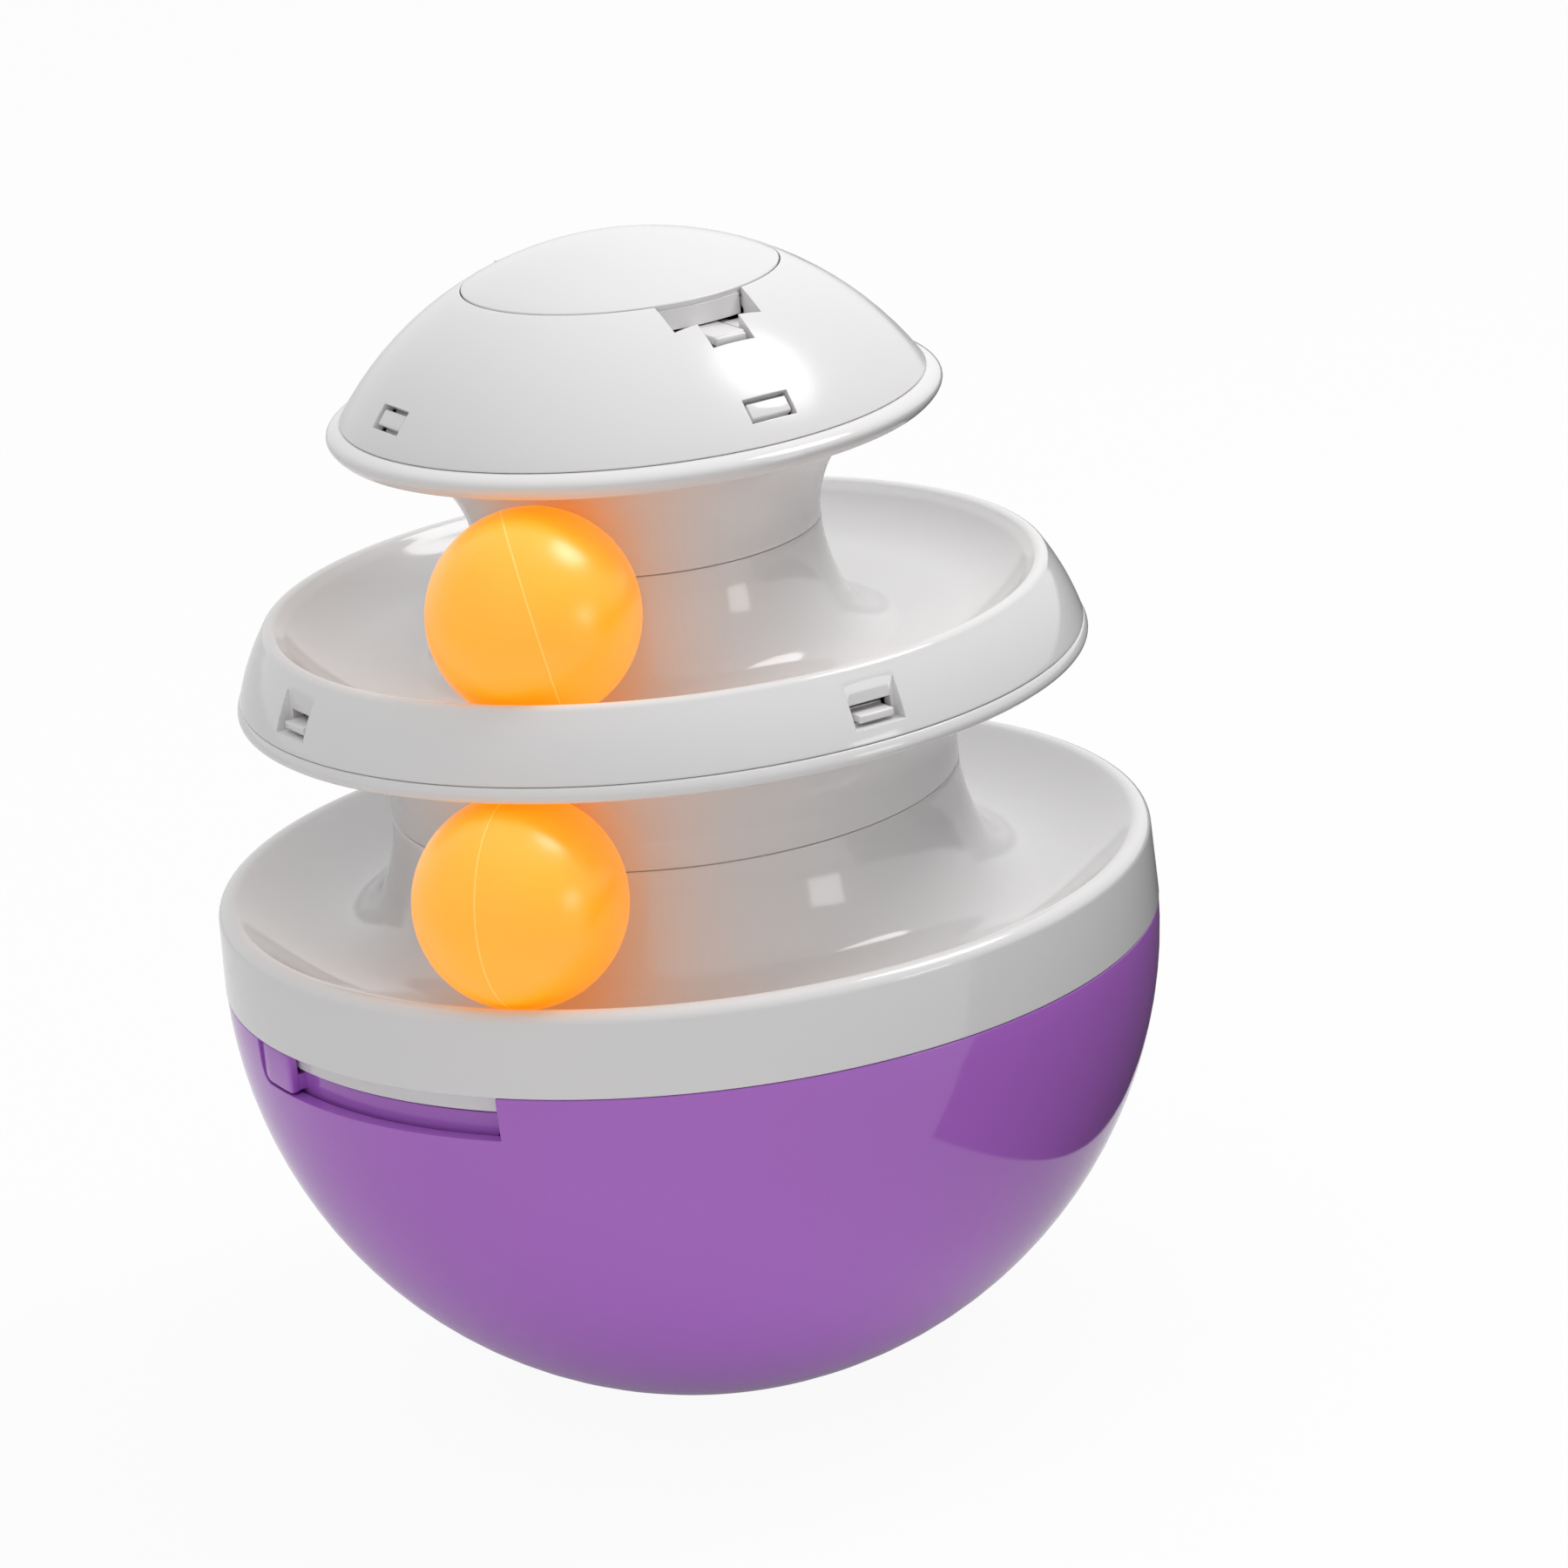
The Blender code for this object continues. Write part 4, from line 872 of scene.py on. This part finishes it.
def dress_lid_latch():
    """The springy tongue below the lid skirt, with a deeper lip at its tip."""
    low = LATCH_Z - LATCH_THICK / 2
    high = LATCH_Z + LATCH_THICK / 2
    tongue = bmesh.new()
    add_block(tongue, LATCH_WIDTH, LATCH_ROOT - BITE, LATCH_REACH - LATCH_LIP / 2, low, high)
    round_blocks(tongue)
    body = from_bmesh("latch_tongue", tongue)
    lip = bmesh.new()
    add_block(lip, LATCH_WIDTH - 2 * GAP, LATCH_REACH - LATCH_LIP, LATCH_REACH, low - GAP, high - GAP)
    round_blocks(lip)
    combine(body, lip, "UNION")
    place(body, "lid_latch", "lid_latch", DOME_WHITE)


def dress_ball(name, node, radius, height, joint_normal):
    """A table tennis ball whose joint line lies square to a direction."""
    shape = bmesh.new()
    bmesh.ops.create_uvsphere(shape, u_segments=BALL_SEGMENTS, v_segments=BALL_RINGS,
                              radius=BALL_RADIUS)
    body = from_bmesh(name, shape)
    body.location = azimuth(BALL_AZIMUTH) @ Vector((0.0, -radius, height))
    body.rotation_euler = joint_normal.to_track_quat("Z", "Y").to_euler()
    place(body, node, node, ORANGE)


# The camera, fitted to the seams and rims in the photograph
CAMERA_AZIMUTH = -28.5
CAMERA_ELEVATION = 19.0
CAMERA_YAW = 0.92
CAMERA_PITCH = 1.145
CAMERA_ROLL = -6.3
CAMERA_DISTANCE = 1.300
CAMERA_TARGET_Z = 0.0892
CAMERA_LENS = 153.66
CAMERA_SENSOR = 36.0


def camera_axes():
    """Right, up and back of the fitted camera, and the way to it from its target."""
    rise, yaw, pitch, roll = (math.radians(a) for a in (
        CAMERA_ELEVATION, CAMERA_YAW, CAMERA_PITCH, CAMERA_ROLL))
    way = Vector((0.0, -math.cos(rise), math.sin(rise)))
    right = Vector((1.0, 0.0, 0.0))
    up = Vector((0.0, math.sin(rise), math.cos(rise)))
    right, back = (right * math.cos(yaw) + way * math.sin(yaw), way * math.cos(yaw) - right * math.sin(yaw))
    up, back = (up * math.cos(pitch) + back * math.sin(pitch), back * math.cos(pitch) - up * math.sin(pitch))
    right, up = (right * math.cos(roll) + up * math.sin(roll), up * math.cos(roll) - right * math.sin(roll))
    turn = azimuth(CAMERA_AZIMUTH).to_3x3()
    return tuple(turn @ axis for axis in (right, up, back, way))


def add_camera():
    """The fitted camera."""
    right, up, back, way = camera_axes()
    data = bpy.data.cameras.new("photo_camera")
    data.lens = CAMERA_LENS
    data.sensor_width = CAMERA_SENSOR
    camera = bpy.data.objects.new("photo_camera", data)
    bpy.context.scene.collection.objects.link(camera)
    spot = way * CAMERA_DISTANCE + Vector((0.0, 0.0, CAMERA_TARGET_Z))
    turn = Matrix((right, up, back)).transposed().to_4x4()
    camera.matrix_world = Matrix.Translation(spot) @ turn
    bpy.context.scene.camera = camera


LIGHT_AIM = Vector((0.0, 0.0, 0.11))

# Lamps: place in the studio, width in metres, watts and share of their diffuse light
SPOT_PLACE = (95.0, 57.0, 1.2)
SPOT_WIDTH = 0.56
SPOT_ENERGY = 5.4
SPOT_DIFFUSE = 0.20
PANE_PLACE = (53.0, 7.0, 1.1)
PANE_WIDTH = 0.26
PANE_ENERGY = 0.8
PANE_DIFFUSE = 1.0


def studio(bearing, rise, distance):
    """A place in the studio: degrees to the right of the camera, degrees up and metres off the object."""
    turn = azimuth(CAMERA_AZIMUTH + bearing) @ Matrix.Rotation(math.radians(-rise), 4, "X")
    return LIGHT_AIM + turn @ Vector((0.0, -distance, 0.0))


def softbox(name, shape, where, width, energy, diffuse):
    """A soft lamp, as wide as it is high, that faces the object."""
    spot = studio(*where)
    data = bpy.data.lights.new(name, "AREA")
    data.shape = shape
    data.size = width
    data.size_y = width
    data.energy = energy
    data.diffuse_factor = diffuse
    lamp = bpy.data.objects.new(name, data)
    bpy.context.scene.collection.objects.link(lamp)
    lamp.location = spot
    lamp.rotation_euler = (spot - LIGHT_AIM).to_track_quat("Z", "Y").to_euler()


def maths(tree, operation, first, second):
    """One maths operation on two values, each a socket or a plain number."""
    node = tree.nodes.new("ShaderNodeMath")
    node.operation = operation
    for socket, value in zip(node.inputs, (first, second)):
        if isinstance(value, float):
            socket.default_value = value
        else:
            tree.links.new(value, socket)
    return node.outputs["Value"]


def seen(tree, camera=1.0, mirrored=1.0):
    """How white the background is for camera rays and for glossy and transmission rays."""
    path = tree.nodes.new("ShaderNodeLightPath")
    total = maths(tree, "MULTIPLY", path.outputs["Is Camera Ray"], camera)
    for ray in ("Is Glossy Ray", "Is Transmission Ray"):
        total = maths(tree, "MAXIMUM", total, maths(tree, "MULTIPLY", path.outputs[ray], mirrored))
    return total


# Soft light from all round: strongest from nearly overhead, with a broad lobe from the front left
SKY_BASE = 0.02
SKY_TOP = 1.42
SKY_TOP_POWER = 2.4
SKY_TOP_WAY = (150.0, 84.0)
SKY_FRONT = 0.70
SKY_FRONT_POWER = 3.0
SKY_FRONT_WAY = (-24.0, 6.0)


def lobe(tree, way, power, strength):
    """Light that falls off smoothly away from a direction."""
    where = tree.nodes.new("ShaderNodeTexCoord")
    dot = tree.nodes.new("ShaderNodeVectorMath")
    dot.operation = "DOT_PRODUCT"
    dot.inputs[1].default_value = way
    tree.links.new(where.outputs["Generated"], dot.inputs[0])
    value = dot.outputs["Value"]
    for operation, amount in (("MAXIMUM", 0.0), ("POWER", power), ("MULTIPLY", strength)):
        value = maths(tree, operation, value, amount)
    return value


def add_world():
    """A white surround whose light comes mostly from above and from the front left."""
    world = bpy.data.worlds.new("studio")
    bpy.context.scene.world = world
    world.use_nodes = True
    tree = world.node_tree
    back = tree.nodes["Background"]
    top = lobe(tree, studio(*SKY_TOP_WAY, 1.0) - LIGHT_AIM, SKY_TOP_POWER, SKY_TOP)
    front = lobe(tree, studio(*SKY_FRONT_WAY, 1.0) - LIGHT_AIM, SKY_FRONT_POWER, SKY_FRONT)
    light = maths(tree, "ADD", maths(tree, "ADD", top, front), SKY_BASE)
    strength = tree.nodes.new("ShaderNodeMix")
    tree.links.new(seen(tree), strength.inputs["Factor"])
    tree.links.new(light, strength.inputs["A"])
    strength.inputs["B"].default_value = 1.0
    tree.links.new(strength.outputs["Result"], back.inputs["Strength"])
    back.inputs["Color"].default_value = (1.0, 1.0, 1.0, 1.0)


# Floor. Its X runs to the camera's right, and its Y away from the camera. For all but camera rays it is
# dark where X > DARK_NEAR, behind a line that starts at Y = -DARK_FRONT and falls by DARK_SLOPE. For
# diffuse rays it is also dark where X + DARK_TURN * Y > DARK_BOUNCE.
FLOOR_SIZE = 12.0
FLOOR_COLOUR = (0.82, 0.82, 0.82)
FLOOR_LIFT = 0.94
FLOOR_GLOSS_LIFT = 0.20
FLOOR_ROUGHNESS = 0.9
DARK_COLOUR = (0.02, 0.02, 0.02)
DARK_NEAR = 0.112
DARK_FRONT = 0.117
DARK_SLOPE = 0.33
DARK_BOUNCE = 0.05
DARK_TURN = 0.55


def add_floor():
    """A pale floor that looks white and keeps a faint shadow. On the right it is dark for every ray but
    the camera's, as a black card there would be, and over a wider part for diffuse rays."""
    shape = bmesh.new()
    bmesh.ops.create_grid(shape, x_segments=1, y_segments=1, size=FLOOR_SIZE / 2)
    floor = from_bmesh("floor", shape)
    floor.rotation_euler.z = math.radians(CAMERA_AZIMUTH)
    made, tree, shader = node_material("pale_floor")
    where = tree.nodes.new("ShaderNodeTexCoord")
    axes = tree.nodes.new("ShaderNodeSeparateXYZ")
    tree.links.new(where.outputs["Object"], axes.inputs["Vector"])
    beyond = maths(tree, "SUBTRACT", axes.outputs["X"], DARK_NEAR)
    front = maths(tree, "ADD", maths(tree, "MULTIPLY", beyond, DARK_SLOPE), axes.outputs["Y"])
    dark = maths(tree, "MULTIPLY", maths(tree, "GREATER_THAN", beyond, 0.0),
                 maths(tree, "GREATER_THAN", front, -DARK_FRONT))
    path = tree.nodes.new("ShaderNodeLightPath")
    side = maths(tree, "ADD", axes.outputs["X"], maths(tree, "MULTIPLY", axes.outputs["Y"], DARK_TURN))
    bounce = maths(tree, "MULTIPLY", maths(tree, "GREATER_THAN", side, DARK_BOUNCE),
                   path.outputs["Is Diffuse Ray"])
    dark = maths(tree, "MAXIMUM", dark, bounce)
    hidden = maths(tree, "SUBTRACT", dark, path.outputs["Is Camera Ray"])
    hidden = maths(tree, "MAXIMUM", hidden, 0.0)
    mix = tree.nodes.new("ShaderNodeMix")
    mix.data_type = "RGBA"
    mix.inputs["A"].default_value = (*FLOOR_COLOUR, 1.0)
    mix.inputs["B"].default_value = (*DARK_COLOUR, 1.0)
    tree.links.new(hidden, mix.inputs["Factor"])
    tree.links.new(mix.outputs["Result"], shader.inputs["Base Color"])
    shader.inputs["Roughness"].default_value = FLOOR_ROUGHNESS
    glow = tree.nodes.new("ShaderNodeEmission")
    lift = maths(tree, "MULTIPLY", seen(tree, FLOOR_LIFT, FLOOR_GLOSS_LIFT),
                 maths(tree, "SUBTRACT", 1.0, hidden))
    blend = tree.nodes.new("ShaderNodeMixShader")
    tree.links.new(lift, blend.inputs["Fac"])
    tree.links.new(shader.outputs["BSDF"], blend.inputs[1])
    tree.links.new(glow.outputs["Emission"], blend.inputs[2])
    tree.links.new(blend.outputs["Shader"], tree.nodes["Material Output"].inputs["Surface"])
    floor.data.materials.append(made)


def dress_hidden():
    """Better finishes for the CAD nodes that stay: the ballast, its fixings and the hinge pin."""
    finishes = {"counterweight": IRON, "weight_cover": PURPLE, "lid_hinge_pin": STEEL,
                "weight_screw_1": STEEL, "weight_screw_2": STEEL, "weight_screw_3": STEEL}
    for node, finish in finishes.items():
        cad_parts[node].data.materials.clear()
        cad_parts[node].data.materials.append(finish)


def dress():
    """Make every piece, from the bottom up."""
    right, up, back = camera_axes()[:3]
    lower_joint = right * LOWER_JOINT_RIGHT + back * LOWER_JOINT_BACK
    upper_joint = right * UPPER_JOINT_RIGHT + up * UPPER_JOINT_UP
    dress_base_shell()
    dress_outlet_slider()
    dress_lower_track()
    dress_ball("lower_track_ball", "lower_ball", LOWER_BALL_R, LOWER_BALL_Z, lower_joint)
    dress_upper_track_base()
    dress_upper_track()
    dress_ball("upper_track_ball", "upper_ball", UPPER_BALL_R, UPPER_BALL_Z, upper_joint)
    dress_dome_base()
    dress_dome_shell()
    dress_lid()
    dress_lid_latch()
    dress_hidden()


dress()
add_camera()
add_world()
add_floor()
softbox("spot", "ELLIPSE", SPOT_PLACE, SPOT_WIDTH, SPOT_ENERGY, SPOT_DIFFUSE)
softbox("window", "RECTANGLE", PANE_PLACE, PANE_WIDTH, PANE_ENERGY, PANE_DIFFUSE)
bpy.context.scene.view_settings.view_transform = "Standard"
